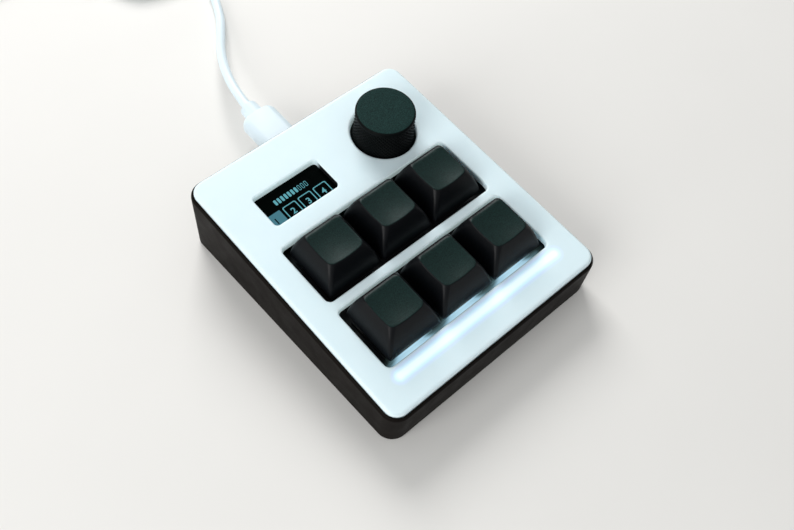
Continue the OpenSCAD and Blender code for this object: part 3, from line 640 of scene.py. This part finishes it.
def make_cable():
    """The whole cable, from the plug's neck through the coil to the far plug."""
    route = smooth([IN_THE_NECK, *TO_THE_COIL]) + coil() + smooth(TO_THE_FAR_PLUG)
    data = bpy.data.curves.new("cable", "CURVE")
    data.dimensions = "3D"
    data.bevel_depth = CORD_D / 2 * MM
    data.bevel_resolution = 5
    spline = data.splines.new("POLY")
    spline.points.add(len(route) - 1)
    for point, place in zip(spline.points, route):
        point.co = (*(ROW @ place), 1)
    spline.use_smooth = True
    data.materials.append(cable_white.material)
    cable = bpy.data.objects.new("cable", data)
    bpy.context.scene.collection.objects.link(cable)
    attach(cable, "usb_lead")
    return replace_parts(cable, "usb_cable", "cable_coil", "cable_end")


def grip_rings(w, h, r, length, end_r, neck_r, neck_end_r, neck_len):
    """Rings of a plug's grip and their places, from its front face to the end of its neck."""
    front = round_rect(w - 2 * GRIP_EDGE, h - 2 * GRIP_EDGE, r - GRIP_EDGE, 6)
    rings = [front, round_rect(w, h, r, 6)]
    places = [0, GRIP_EDGE]
    for a in arc(6):
        inset = end_r * (1 - math.cos(a))
        height = max(h - GRIP_FALL * inset, 2 * neck_r + NECK_ROOM)
        rings.append(round_rect(w - 2 * inset, height, r - inset / 2, 6))
        places.append(length - end_r + end_r * math.sin(a))
    neck = [
        (neck_r, 0.01),
        (neck_r, NECK_STRAIGHT),
        (neck_end_r, neck_len - NECK_EDGE),
        (neck_end_r - 0.3 * NECK_EDGE, neck_len - 0.24 * NECK_EDGE),
        (neck_end_r - NECK_EDGE, neck_len),
    ]
    for radius, along in neck:
        rings.append(round_rect(2 * radius, 2 * radius, radius, 6))
        places.append(length + along)
    return rings, places


def make_plug_grip():
    size = grip_high - grip_low
    rings, places = grip_rings(
        size.x, size.z, GRIP_R, GRIP_LEN, GRIP_END_R, NECK_R, NECK_END_R, NECK_LEN
    )
    shell = Shell().solid(
        [upright_ring(r, grip_low.y + y, (0, USB_Z)) for r, y in zip(rings, places)]
    )
    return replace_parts(shell.piece("grip_moulding", cable_white, "usb_lead"), "plug_grip")


def make_far_grip(shell_y):
    """The far plug's grip, which runs from the metal shell back to the cable."""
    rings, places = grip_rings(
        FAR_GRIP_W,
        FAR_GRIP_H,
        FAR_GRIP_R,
        FAR_GRIP_LEN,
        FAR_GRIP_END_R,
        FAR_NECK_R,
        FAR_NECK_END_R,
        FAR_NECK_LEN,
    )
    shell = Shell().solid([upright_ring(r, shell_y - y) for r, y in zip(rings, places)])
    grip = shell.piece("far_grip_moulding", cable_white, "usb_lead", FAR_PLUG)
    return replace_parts(grip, "far_plug_grip")


def make_far_shell(shell_y):
    """The far plug's hollow metal shell, dark latch holes in it and the tongue inside."""
    sections = [
        (0, -FAR_SHELL_SUNK),
        (0, FAR_SHELL_LEN),
        (FAR_SHELL_T, FAR_SHELL_LEN),
        (FAR_SHELL_T, FAR_SHELL_FLOOR),
    ]
    metal = Shell().solid([
        upright_ring(
            round_rect(FAR_SHELL_W - 2 * t, FAR_SHELL_H - 2 * t, FAR_SHELL_R - t, 4), shell_y + y
        )
        for t, y in sections
    ])
    metal_shell = metal.piece("far_shell", steel, "usb_lead", FAR_PLUG)
    latch = round_rect(LATCH_W, LATCH_D, LATCH_R, 3)
    latches = Shell()
    for x in (-LATCH_X, LATCH_X):
        for z in (FAR_SHELL_H / 2 + LATCH_PROUD - LATCH_T, -FAR_SHELL_H / 2 - LATCH_PROUD):
            latches.solid([
                level_ring(latch, z + up, (x, shell_y + LATCH_Y)) for up in (0, LATCH_T)
            ])
    holes = latches.piece("far_shell_latches", tie_black, "usb_lead", FAR_PLUG)
    outline = round_rect(TONGUE_W, TONGUE_H, TONGUE_R, 2)
    insert = Shell().solid([
        upright_ring(outline, shell_y + y, (0, TONGUE_Z)) for y in (FAR_SHELL_FLOOR, TONGUE_END)
    ])
    tongue = insert.piece("far_tongue", cable_white, "usb_lead", FAR_PLUG)
    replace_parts(metal_shell, "far_plug_shell")
    return [metal_shell, holes, tongue]


def make_far_plug():
    """The far plug, which points along -X."""
    shell_y = FAR_NECK_LEN + FAR_GRIP_LEN
    return [make_far_grip(shell_y), *make_far_shell(shell_y)]


def make_tie():
    """The strap round the coil's turns, on the side away from the cable's way in."""
    low, high = (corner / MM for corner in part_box("cable_tie"))
    centre = ((low.x + high.x) / 2, (low.z + high.z) / 2)
    w, h, d = high.x - low.x, high.z - low.z, high.y - low.y
    sections = [
        (STRAP_EDGE, 0),
        (0, STRAP_EDGE_D),
        (0, d - STRAP_EDGE_D),
        (STRAP_EDGE, d),
    ]
    rings = [
        upright_ring(round_rect(w - 2 * inset, h - 2 * inset, STRAP_R, 8), low.y + y, centre)
        for inset, y in sections
    ]
    inside = round_rect(w - 2 * STRAP_T, h - 2 * STRAP_T, STRAP_R - STRAP_T, 8)
    rings += [upright_ring(inside, low.y + y, centre) for y in (d, 0)]
    shell = Shell()
    first, last = shell.loft(rings)
    shell.band(last, first)
    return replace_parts(shell.piece("strap", tie_black, "usb_lead", ROW), "cable_tie")


def make_lead():
    cable = make_cable()
    pieces = [make_plug_grip(), nodes["plug_shell"], *make_far_plug(), make_tie()]


# ------------------------------------ case and top plate

SCREW_BORE_R = 1.45
HEAD_R = 2.3
HEAD_BORE_R = 2.5
HEAD_SEAT = -11.8
POST_R = 3.8
POST_TOP = -8.3
SOCKET_W = 9.54          # the opening for the USB socket
SOCKET_H = 3.8
SOCKET_R = SOCKET_H / 2 - 0.1
CUT = 1                  # how far a cut runs past the wall
BELOW_TABLE = 5          # where the screw holes' cuts start


def screw_places():
    """The case screws' places on the deck."""
    low, high = deck_box("case_screws")
    x = (high.x - low.x) / 2 - HEAD_R
    y = (high.y - low.y) / 2 - HEAD_R
    return [(sx * x, sy * y) for sx in (-1, 1) for sy in (-1, 1)]


def make_case():
    """A wedge, open at the top, whose rim narrows round the plate."""
    low, high = deck_box("bottom_case")
    w, d = high.x - low.x, high.y - low.y
    r = PLATE_R + PLATE_GAP + RIM_T
    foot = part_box("bottom_case")[0].z / MM

    def outline(inset):
        return round_rect(w - 2 * inset, d - 2 * inset, r - inset, 12)

    def ring_over_table(inset, height):
        return [(x, y, over_table(y, height)) for x, y in outline(inset)]

    lip = math.degrees(math.acos(1 - RIM_T / RIM_EDGE))
    rim = [
        level_ring(
            outline(RIM_EDGE * (1 - math.cos(a))), -PLATE_PROUD - RIM_EDGE * (1 - math.sin(a))
        )
        for a in arc(6, lip, 0)
    ]
    rings = [
        ring_over_table(WALL_T, foot + FLOOR_T),
        level_ring(outline(WALL_T), -PLATE_T),
        level_ring(outline(RIM_T), -PLATE_T),
        *rim,
        ring_over_table(0, foot + CASE_FOOT_EDGE),
        ring_over_table(CASE_FOOT_EDGE / 3, foot + CASE_FOOT_EDGE / 3),
        ring_over_table(CASE_FOOT_EDGE, foot),
    ]
    case = Shell().solid(rings).piece("case_moulding", case_black, "case")
    under = over_table(d, -BELOW_TABLE)
    for place in screw_places():
        inside = over_table(place[1], foot + FLOOR_T / 2)
        carve(case, post(POST_R, inside, POST_TOP, place), "UNION")
        carve(case, post(HEAD_BORE_R, under, HEAD_SEAT, place), "DIFFERENCE")
        carve(case, post(SCREW_BORE_R, under, 0, place), "DIFFERENCE")
    slot = round_rect(SOCKET_W, SOCKET_H, SOCKET_R, 8)
    ends = (d / 2 - WALL_T - CUT, d / 2 + CUT)
    carve(case, Shell().solid([upright_ring(slot, y, (0, USB_Z)) for y in ends]), "DIFFERENCE")
    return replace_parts(case, "bottom_case")


def plate_windows():
    """The plate's windows: width, depth, corner radius, edge and centre of each."""
    windows = []
    for row in ((1, 2, 3), (4, 5, 6)):
        low, high = span([corner for i in row for corner in deck_box(f"keycap_{i}")])
        size = (high.x - low.x + 2 * KEY_GAP_X, high.y - low.y + 2 * KEY_GAP_Y)
        windows.append((*size, WINDOW_R, WINDOW_EDGE, middle(low, high)))
    windows.append((DISPLAY_W, DISPLAY_D, DISPLAY_R, DISPLAY_EDGE, DISPLAY_CENTRE))
    return windows


def make_plate():
    """A flat plate with a round edge, three windows and the knob's hole."""
    w, d = PLATE_HIGH.x - PLATE_LOW.x, PLATE_HIGH.y - PLATE_LOW.y
    knob_centre = middle(*deck_box("knob"))
    shell = Shell()
    edge = [
        level_ring(round_rect(w - 2 * o, d - 2 * o, PLATE_R - o, 12), z)
        for o, z in rounding(PLATE_EDGE, 8)
    ]
    edge.append(level_ring(round_rect(w, d, PLATE_R, 12), -PLATE_T))
    top, bottom = shell.loft(edge)
    holes = []
    for hole_w, hole_d, r, e, centre in plate_windows():
        profile = [*rounding(e), (0, -PLATE_T)]
        holes.append(shell.loft([
            level_ring(round_rect(hole_w + 2 * o, hole_d + 2 * o, r + o), z, centre)
            for o, z in profile
        ]))
    holes.append(shell.loft([
        level_ring(circle(KNOB_HOLE_R + o), z, knob_centre)
        for o, z in [*rounding(KNOB_HOLE_EDGE), (0, -PLATE_T)]
    ]))
    shell.fill(top, [hole[0] for hole in holes])
    shell.fill(bottom, [hole[1] for hole in holes])
    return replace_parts(shell.piece("plate_moulding", plate_white, "case"), "top_cover")


# ------------------------------------ keys

CAP_HOLLOW = 0.9         # the hollow's top, as a share of the cap's
CAP_FOOT = 0.985         # the skirt's foot, as a share of its outline
CAP_SOUND = 0.1          # share of the side that tells its direction below the soft edge

# Where rings run: shares of the way up the side, round the soft edge, and of the dish's size.
SIDE_RINGS = (0.03, 0.16, 0.32, 0.48, 0.64, 0.78)
EDGE_RINGS = (0, 0.15, 0.32, 0.5, 0.68, 0.85, 1)
DISH_RINGS = (0.88, 0.74, 0.58, 0.42, 0.26, 0.1)

SPRING_TURNS = 8
SPRING_WIRE = 0.18       # radius
SPRING_POINTS = 18       # rings of the wire in each turn


def outward(outline, k):
    """The unit vector out of a counterclockwise outline at its point k."""
    (x0, y0), (x1, y1) = outline[k - 1], outline[(k + 1) % len(outline)]
    return Vector((y1 - y0, x0 - x1, 0)).normalized()


def make_keycap(i):
    """A sculpted keycap, hollow below, with a dished top and soft edges."""
    low, high = deck_box(f"keycap_{i}")
    w, d = high.x - low.x, high.y - low.y
    centre = Vector((*middle(low, high), 0))
    skirt_z, top_z = low.z, high.z
    dish_z = top_z - CAP_DISH - CAP_BOW
    dish_centre = Vector((0, CAP_TOP_SHIFT, 0))
    skirt = round_rect(w, d, CAP_SKIRT_R, along=12)
    outline = round_rect(CAP_TOP_W, CAP_TOP_D, CAP_TOP_R, along=12)
    sharp_outline = round_rect(CAP_TOP_W, CAP_TOP_D, CAP_SKIRT_R, along=12)
    top = [Vector((x, y + CAP_TOP_SHIFT, top_z)) for x, y in outline]
    sharp = [Vector((x, y + CAP_TOP_SHIFT, top_z)) for x, y in sharp_outline]
    outs = [outward(outline, k) for k in range(len(outline))]

    def on_dish(point):
        across = point.x / (CAP_TOP_W / 2)
        along = (point.y - CAP_TOP_SHIFT) / (CAP_TOP_D / 2)
        rise = CAP_DISH * across**2 + CAP_BOW * along**2
        return Vector((point.x, point.y, dish_z + rise))

    def side_at(share, k):
        """The point that share of the way up the swelling side, over the skirt's point k.

        The sides meet in sharp edges, which turn to the top's round corners near it.
        """
        foot = Vector((*skirt[k], skirt_z))
        head = sharp[k].lerp(top[k], share**CAP_CORNER_TURN)
        swell = outs[k] * 4 * CAP_BULGE * share * (1 - share)
        return foot.lerp(head, share) + swell

    def rim_share(k):
        """How far up the side the dish cuts it."""
        share = 1.0
        for _ in range(6):
            point = side_at(share, k)
            share -= (point.z - on_dish(point).z) / (top_z - skirt_z)
        return share

    def edge_width(out):
        """The rounded edge is wide at the rear and narrow at the front."""
        rear = (CAP_REAR_EDGE - CAP_EDGE) * max(0, out.y) ** 2
        front = (CAP_FRONT_EDGE - CAP_EDGE) * max(0, -out.y) ** 2
        return CAP_EDGE + rear + front

    shares = [rim_share(k) for k in range(len(top))]
    rim = [side_at(share, k) for k, share in enumerate(shares)]
    inner = [on_dish(p - out * edge_width(out)) for p, out in zip(rim, outs)]
    below = [
        p + (side_at(shares[k] - CAP_SOUND, k) - p).normalized() * edge_width(outs[k])
        for k, p in enumerate(rim)
    ]
    edges = [
        [(1 - t) ** 2 * a + 2 * t * (1 - t) * b + t**2 * c for a, b, c in zip(below, rim, inner)]
        for t in EDGE_RINGS
    ]
    dish = [
        [on_dish(dish_centre + (p - dish_centre) * scale) for p in inner] for scale in DISH_RINGS
    ]
    inset = 1 - 2 * CAP_WALL / w
    hollow_top = top_z - CAP_DISH - CAP_ROOF
    hollow = [
        [Vector((p.x * CAP_HOLLOW, p.y * CAP_HOLLOW, hollow_top)) for p in top],
        [Vector((x * inset, y * inset, skirt_z)) for x, y in skirt],
    ]
    foot = [Vector((x * CAP_FOOT, y * CAP_FOOT, skirt_z)) for x, y in skirt]
    side = [[side_at(share * t, k) for k, share in enumerate(shares)] for t in SIDE_RINGS]
    rings = [*hollow, foot, *side, *edges, *dish]
    shell = Shell().solid([[p + centre for p in ring] for ring in rings])
    cap = shell.piece(f"cap_moulding_{i}", keycap_black, f"key_{i}", sharp=50)
    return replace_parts(cap, f"keycap_{i}")


def make_spring(i):
    """A coil spring with round wire, which its key presses flat."""
    low, high = deck_box(f"key_spring_{i}")
    centre = Vector((*middle(low, high), 0))
    length = high.z - low.z
    radius = (high.x - low.x) / 2 - SPRING_WIRE
    steps = SPRING_TURNS * SPRING_POINTS
    up = Vector((0, 0, 1))
    rings = []
    for step, a in enumerate(arc(steps, 0, 360 * SPRING_TURNS)):
        out = Vector((math.cos(a), math.sin(a), 0))
        rise = (length - 2 * SPRING_WIRE) * step / steps
        wire = centre + radius * out + (low.z + SPRING_WIRE + rise) * up
        rings.append([
            wire + SPRING_WIRE * (math.cos(b) * out + math.sin(b) * up) for b in arc(8, 0, 360)[:-1]
        ])
    shell = Shell().solid(rings)
    spring = shell.piece(f"spring_wire_{i}", spring_steel, "case", sharp=80)
    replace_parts(spring, f"key_spring_{i}")
    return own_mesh(spring)


# ------------------------------------ knob

KNURL_COUNT = 48
KNURL_ROWS = 14
KNURL_DEPTH = 0.35
KNURL_FOOT = 0.6         # height of the knurl over the knob's foot
KNOB_LEDGE = 0.15        # smooth start of the side
KNOB_HOLLOW_R = 6.6
KNOB_HOLLOW_TOP = 0.1    # the hollow's ceiling over the plate
BAND_STEP = 0.1          # height of the step from the knurl out to the band
FACE_MARGIN = 0.6        # outermost strip of the flat face


def make_knob():
    """A knob with a smooth band over a diamond knurl, hollow below."""
    low, high = deck_box("knob")
    centre = middle(low, high)
    foot_r = (high.x - low.x) / 2
    band_z = high.z - KNOB_BAND
    knurl_z = low.z + KNURL_FOOT
    count = 2 * KNURL_COUNT

    def radius(z):
        return KNOB_TOP_R + (foot_r - KNOB_TOP_R) * ((high.z - z) / (high.z - low.z)) ** KNOB_FLARE

    def ring(r, z):
        return level_ring(circle(r, count), z, centre)

    def knurl_ring(row):
        """Peaks and hollows by turns, shifted by one in each row, and no peaks at the ends."""
        z = knurl_z + (band_z - knurl_z) * row / KNURL_ROWS
        at_end = row in (0, KNURL_ROWS)
        points = []
        for k in range(count):
            a = 2 * math.pi * k / count
            peak = (k + row) % 2 == 0 and not at_end
            r = radius(z) - (0 if peak else KNURL_DEPTH)
            points.append((centre[0] + r * math.cos(a), centre[1] + r * math.sin(a), z))
        return points

    shell = Shell()
    hollow, ledge = shell.loft([
        ring(KNOB_HOLLOW_R, KNOB_HOLLOW_TOP),
        ring(KNOB_HOLLOW_R, low.z),
        ring(foot_r, low.z),
        ring(foot_r, low.z + KNOB_LEDGE),
    ])
    shell.faces.append(tuple(hollow))
    rows = [shell.ring(knurl_ring(row)) for row in range(KNURL_ROWS + 1)]
    shell.band(ledge, rows[0])
    for row, (a, b) in enumerate(zip(rows, rows[1:])):
        for k in range(count):
            n = (k + 1) % count
            if (k + row) % 2 == 0:
                shell.faces += [(a[k], a[n], b[k]), (a[n], b[n], b[k])]
            else:
                shell.faces += [(a[k], a[n], b[n]), (a[k], b[n], b[k])]
    soft_edge = [
        ring(KNOB_TOP_R - inset, high.z + drop) for inset, drop in reversed(rounding(KNOB_EDGE, 4))
    ]
    start, end = shell.loft([
        ring(radius(band_z), band_z + BAND_STEP),
        *soft_edge,
        ring(KNOB_TOP_R - KNOB_EDGE - FACE_MARGIN, high.z),
    ])
    shell.band(rows[-1], start)
    shell.faces.append(tuple(end))
    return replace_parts(shell.piece("knob_moulding", knob_black, "knob", sharp=28), "knob")


# ------------------------------------ display

PICTURE = Surface("picture", (10, 40, 44), 0.12, slot=False).glow((92, 165, 176), 0.9)
PICTURE_FILL = Surface("picture_fill", (10, 40, 44), 0.12, slot=False).glow((72, 134, 150), 0.65)

GLASS_R = 0.4
GLASS_FACE_R = 0.3
GLASS_EDGE = 0.15        # height and width of the glass's chamfer
GLASS_EDGE_W = 0.2
PICTURE_RISE = 0.015     # of the picture over the glass

# Places in the picture are counted from the display's centre.
FIRST_TAB_X = -8.92
TAB_PITCH = 5.44
TAB_W = 4.6
TAB_FOOT_Y = -6.25
TAB_TOP_Y = -0.75
TAB_R = 0.55
TAB_LINE = 0.3
DIGIT_H = 2.05
DIGIT_SIZE = 1.42 * DIGIT_H      # font size that gives this height
DIGIT_BOLD = 0.045
DIGIT_FOOT_Y = -4.39
CHOSEN_DIGIT_X = -0.5            # the chosen tab's digit stands left of its middle
CHOSEN_DIGIT_RISE = 0.01
METER_LEFT_X = -6.55
METER_Y = 1.75
METER_BARS = 10
METER_LIT = 7
METER_PITCH = 1.2
METER_W = 0.8
METER_H = 1.9
METER_R = 0.3
METER_LINE = 0.15

GLASS_LOW, GLASS_HIGH = deck_box("display_glass")
DISPLAY = DECK @ Matrix.Translation((*DISPLAY_CENTRE, GLASS_HIGH.z + PICTURE_RISE))


def make_glass():
    centre = middle(GLASS_LOW, GLASS_HIGH)
    w, d = GLASS_HIGH.x - GLASS_LOW.x, GLASS_HIGH.y - GLASS_LOW.y
    face = round_rect(w - 2 * GLASS_EDGE_W, d - 2 * GLASS_EDGE_W, GLASS_FACE_R, 3)
    side = round_rect(w, d, GLASS_R, 3)
    glass = Shell().solid([
        level_ring(face, GLASS_HIGH.z, centre),
        level_ring(side, GLASS_HIGH.z - GLASS_EDGE, centre),
        level_ring(side, GLASS_LOW.z, centre),
    ])
    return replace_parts(glass.piece("glass_panel", display_glass, "case"), "display_glass")


def add_frame(shell, w, d, r, line, centre):
    """A flat outline in the picture."""
    outer = shell.ring(level_ring(round_rect(w, d, r, 4), 0, centre))
    inner = shell.ring(level_ring(round_rect(w - 2 * line, d - 2 * line, r - line / 2, 4), 0, centre))
    shell.band(outer, inner)


def add_blank(shell, w, d, r, centre):
    """A flat filled shape in the picture."""
    shell.faces.append(tuple(shell.ring(level_ring(round_rect(w, d, r, 4), 0, centre))))


def make_digit(character, x, surface, rise=0):
    """A digit that stands on the tabs' line of digits."""
    data = bpy.data.curves.new("digit", "FONT")
    data.body = character
    data.size = DIGIT_SIZE
    data.align_x = "CENTER"
    data.offset = DIGIT_BOLD
    data.resolution_u = 4
    text = bpy.data.objects.new("digit", data)
    mesh = bpy.data.meshes.new_from_object(text)
    mesh.transform(DISPLAY @ Matrix.Translation((x, DIGIT_FOOT_Y, rise)))
    bpy.data.objects.remove(text)
    return finished(bpy.data.objects.new(f"digit_{character}", mesh), surface, "case")


def make_picture():
    """Four numbered tabs, the first one chosen, under a level meter."""
    lines = Shell()
    tab_d = TAB_TOP_Y - TAB_FOOT_Y
    tab_y = (TAB_TOP_Y + TAB_FOOT_Y) / 2
    for k in (1, 2, 3):
        x = FIRST_TAB_X + k * TAB_PITCH
        add_frame(lines, TAB_W, tab_d, TAB_R, TAB_LINE, (x, tab_y))
        make_digit(str(k + 1), x, PICTURE)
    chosen = Shell()
    add_blank(chosen, TAB_W, tab_d, TAB_R / 2, (FIRST_TAB_X, tab_y))
    for k in range(METER_BARS):
        centre = (METER_LEFT_X + (k + 0.5) * METER_PITCH, METER_Y)
        if k < METER_LIT:
            add_blank(lines, METER_W, METER_H, METER_R, centre)
        else:
            add_frame(lines, METER_W, METER_H, METER_R, METER_LINE, centre)
    lines.piece("picture_lines", PICTURE, "case", DISPLAY)
    chosen.piece("picture_chosen", PICTURE_FILL, "case", DISPLAY)
    make_digit("1", FIRST_TAB_X + CHOSEN_DIGIT_X, display_glass, CHOSEN_DIGIT_RISE)


# ------------------------------------ light in and round the windows

DARK = (0, 0, 0)
BAR_LOW, BAR_HIGH = deck_box("light_bar")
BAR_Y = (BAR_LOW.y + BAR_HIGH.y) / 2
PLATE_GLOW = [
    (0.0, (0.36, 0.38, 0.36)),
    (0.3, (0.22, 0.27, 0.31)),
    (0.5, (0.06, 0.13, 0.25)),
    (0.7, (0.02, 0.03, 0.12)),
    (1.0, DARK),
]
PLATE_REACH = 3                  # how far the glow spreads from the bar
SWITCH_GLOW = [
    (0.0, tint(180, 218, 236)),
    (0.4, tint(155, 195, 215)),
    (0.6, tint(75, 102, 108)),
    (0.8, tint(28, 38, 36)),
    (1.0, DARK),
]
SWITCH_REACH = 6
SWITCH_BEHIND = 5                # how far behind the bar the switches are lit most
WALL_GLOW = (0.19, 0.24, 0.235)
FRONT_SKIRT = 5                  # the plate's outer front wall stays within this of its front edge
# colour of the painted shade on the display window's right wall
PAINTED_WALL_SHADE = (14, 14, 14)
WALL_NEAR = 1                    # how close to the wall with painted shade a point has to be


def add_glow(surface, line_y, reach, stops, between=0.0):
    """Light along a line on the deck, which fades with the distance from it.

    Between two lamps it fades more, as it would that share of the reach farther away.
    """
    half = (BAR_HIGH.x - BAR_LOW.x - (BAR_HIGH.y - BAR_LOW.y)) / 2
    x, y = surface.deck_place()
    past_end = surface.math("MAXIMUM", surface.math("SUBTRACT", surface.math("ABSOLUTE", x), half), 0)
    beside = surface.math("SUBTRACT", y, line_y)
    squares = surface.math(
        "ADD", surface.math("MULTIPLY", past_end, past_end), surface.math("MULTIPLY", beside, beside)
    )
    share = surface.math("DIVIDE", surface.math("SQRT", squares), reach)
    wave = surface.math("COSINE", surface.math("MULTIPLY", x, 2 * math.pi / KEY_PITCH))
    dimmed = surface.math("MULTIPLY_ADD", wave, -between / 2, between / 2)
    surface.drive("Emission Color", surface.ramp(surface.math("ADD", share, dimmed), stops))
    surface.set("Emission Strength", 1)


def add_wall_light(surface, colour):
    """Light that comes through the plate to the walls of its windows that face the front."""
    y = surface.deck_place()[1]
    inside = surface.math("GREATER_THAN", y, PLATE_LOW.y + FRONT_SKIRT)
    facing = surface.math("MULTIPLY", surface.facing(Vector((0, -1, 0))), inside)
    lit = surface.ramp(facing, [(0.3, DARK), (0.8, colour)])
    total = surface.mix(1, surface.driver("Emission Color"), lit, "ADD")
    surface.drive("Emission Color", total)


def add_painted_wall_shade(surface, colour):
    """Paints shade on the right wall of the display's window, less towards the rear."""
    x, y = surface.deck_place()
    right = DISPLAY_CENTRE[0] + DISPLAY_W / 2
    past_x = surface.math("ABSOLUTE", surface.math("SUBTRACT", x, right))
    past_y = surface.math("SUBTRACT", y, DISPLAY_CENTRE[1])
    inside = surface.math(
        "MULTIPLY",
        surface.math("LESS_THAN", past_x, WALL_NEAR),
        surface.math("GREATER_THAN", past_y, -DISPLAY_D / 2),
    )
    facing = surface.math("MULTIPLY", surface.facing(Vector((-1, 0, 0))), inside)
    fade = surface.ramp(surface.math("DIVIDE", past_y, DISPLAY_D / 2), [(0.55, 1.0), (0.8, 0.0)])
    amount = surface.math("MULTIPLY", surface.ramp(facing, [(0.85, 0.0), (0.97, 1.0)]), fade)
    shaded = surface.mix(amount, surface.driver("Base Color"), (*tint(*colour), 1))
    surface.drive("Base Color", shaded)


add_glow(plate_white, BAR_Y, PLATE_REACH, PLATE_GLOW)
add_wall_light(plate_white, WALL_GLOW)
# painted shade on the right wall of the display's window
add_painted_wall_shade(plate_white, PAINTED_WALL_SHADE)

# ------------------------------------ CAD nodes that show as they are

switch_black = Surface("switch_black", (26, 27, 28), 0.45)
switch_black.mottle(2, 0.15).grain(0.3, 0.015)
add_glow(switch_black, BAR_Y + SWITCH_BEHIND, SWITCH_REACH, SWITCH_GLOW, between=0.6)
stem_red = Surface("stem_red", (150, 40, 34), 0.4)
stem_red.mottle(1, 0.08).grain(0.3, 0.01)
circuit_board = Surface("circuit_board", (18, 70, 48), 0.35, coat_weight=0.4)
circuit_board.mottle(0.7, 0.3).grain(0.4, 0.01)
contact_copper = Surface("contact_copper", (200, 140, 90), 0.3, metallic=1.0)
contact_copper.mottle(0.6, 0.1)
rotor_white = Surface("rotor_white", (210, 208, 196), 0.45)
rotor_white.mottle(1, 0.04)
lamp_glow = Surface("lamp_glow", (245, 245, 220), 0.4).glow((220, 245, 255), 2)
bar_glow = Surface("bar_glow", (230, 245, 255), 0.3).glow((205, 240, 255), 1.2)
brass = Surface("brass", (205, 170, 95), 0.3, metallic=1.0)
brass.mottle(0.8, 0.08)
foot_rubber = Surface("foot_rubber", (24, 24, 24), 0.8)
foot_rubber.mottle(0.6, 0.2).grain(0.3, 0.03)

NODE_SURFACES = {
    "switch_plate": switch_black,
    "main_board": circuit_board,
    "key_stem": stem_red,
    "switch_housing": switch_black,
    "switch_cover": switch_black,
    "switch_contacts": contact_copper,
    "encoder_base": switch_black,
    "encoder_bracket": steel,
    "encoder_rotor": rotor_white,
    "encoder_shaft": steel,
    "display_board": circuit_board,
    "display_screws": steel,
    "controller_board": circuit_board,
    "pin_headers": switch_black,
    "usb_socket": steel,
    "light_strip": plate_white,
    "strip_lamps": lamp_glow,
    "light_bar": bar_glow,
    "threaded_inserts": brass,
    "case_screws": steel,
    "rubber_feet": foot_rubber,
    "plug_shell": steel,
}


def dress_nodes():
    """Gives each CAD node in the list its surface; numbered nodes are listed without a number."""
    for name, node in nodes.items():
        surface = NODE_SURFACES.get(name) or NODE_SURFACES.get(name.rstrip("0123456789").rstrip("_"))
        if surface:
            for slot in node.material_slots:
                slot.material = surface.material


# ------------------------------------ floor and light

FLOOR_HALF = 3                   # metres, as are the lights' places and sizes
SKY_COLOUR = (0.95, 0.98, 1, 1)
SKY_STRENGTH = 0.42


def make_floor():
    s = FLOOR_HALF
    data = bpy.data.meshes.new("floor")
    data.from_pydata([(-s, -s, 0), (s, -s, 0), (s, s, 0), (-s, s, 0)], [], [(0, 1, 2, 3)])
    floor = bpy.data.objects.new("floor", data)
    pale = Surface("floor", (226, 224, 220), 0.7, slot=False)
    pale.mottle(60, 0.01)
    data.materials.append(pale.material)
    bpy.context.scene.collection.objects.link(floor)


def make_light(name, place, size, power):
    """A square soft light that faces the object."""
    data = bpy.data.lights.new(name, "AREA")
    data.size = size
    data.energy = power
    light = bpy.data.objects.new(name, data)
    light.location = place
    light.rotation_mode = "QUATERNION"
    light.rotation_quaternion = (-Vector(place)).to_track_quat("-Z", "Y")
    bpy.context.scene.collection.objects.link(light)


def make_world():
    world = bpy.data.worlds.new("studio")
    world.use_nodes = True
    background = world.node_tree.nodes["Background"]
    background.inputs["Color"].default_value = SKY_COLOUR
    background.inputs["Strength"].default_value = SKY_STRENGTH
    bpy.context.scene.world = world


make_camera()
make_lead()
make_case()
make_plate()
for key in range(1, 7):
    make_keycap(key)
    make_spring(key)
make_knob()
make_glass()
make_picture()
dress_nodes()
make_floor()
make_light("key", place=(0.24, 0.52, 0.5), size=0.38, power=4.1)
make_light("fill", place=(-0.72, -0.14, 0.4), size=0.6, power=4.8)
make_world()
bpy.context.scene.view_settings.view_transform = "Standard"
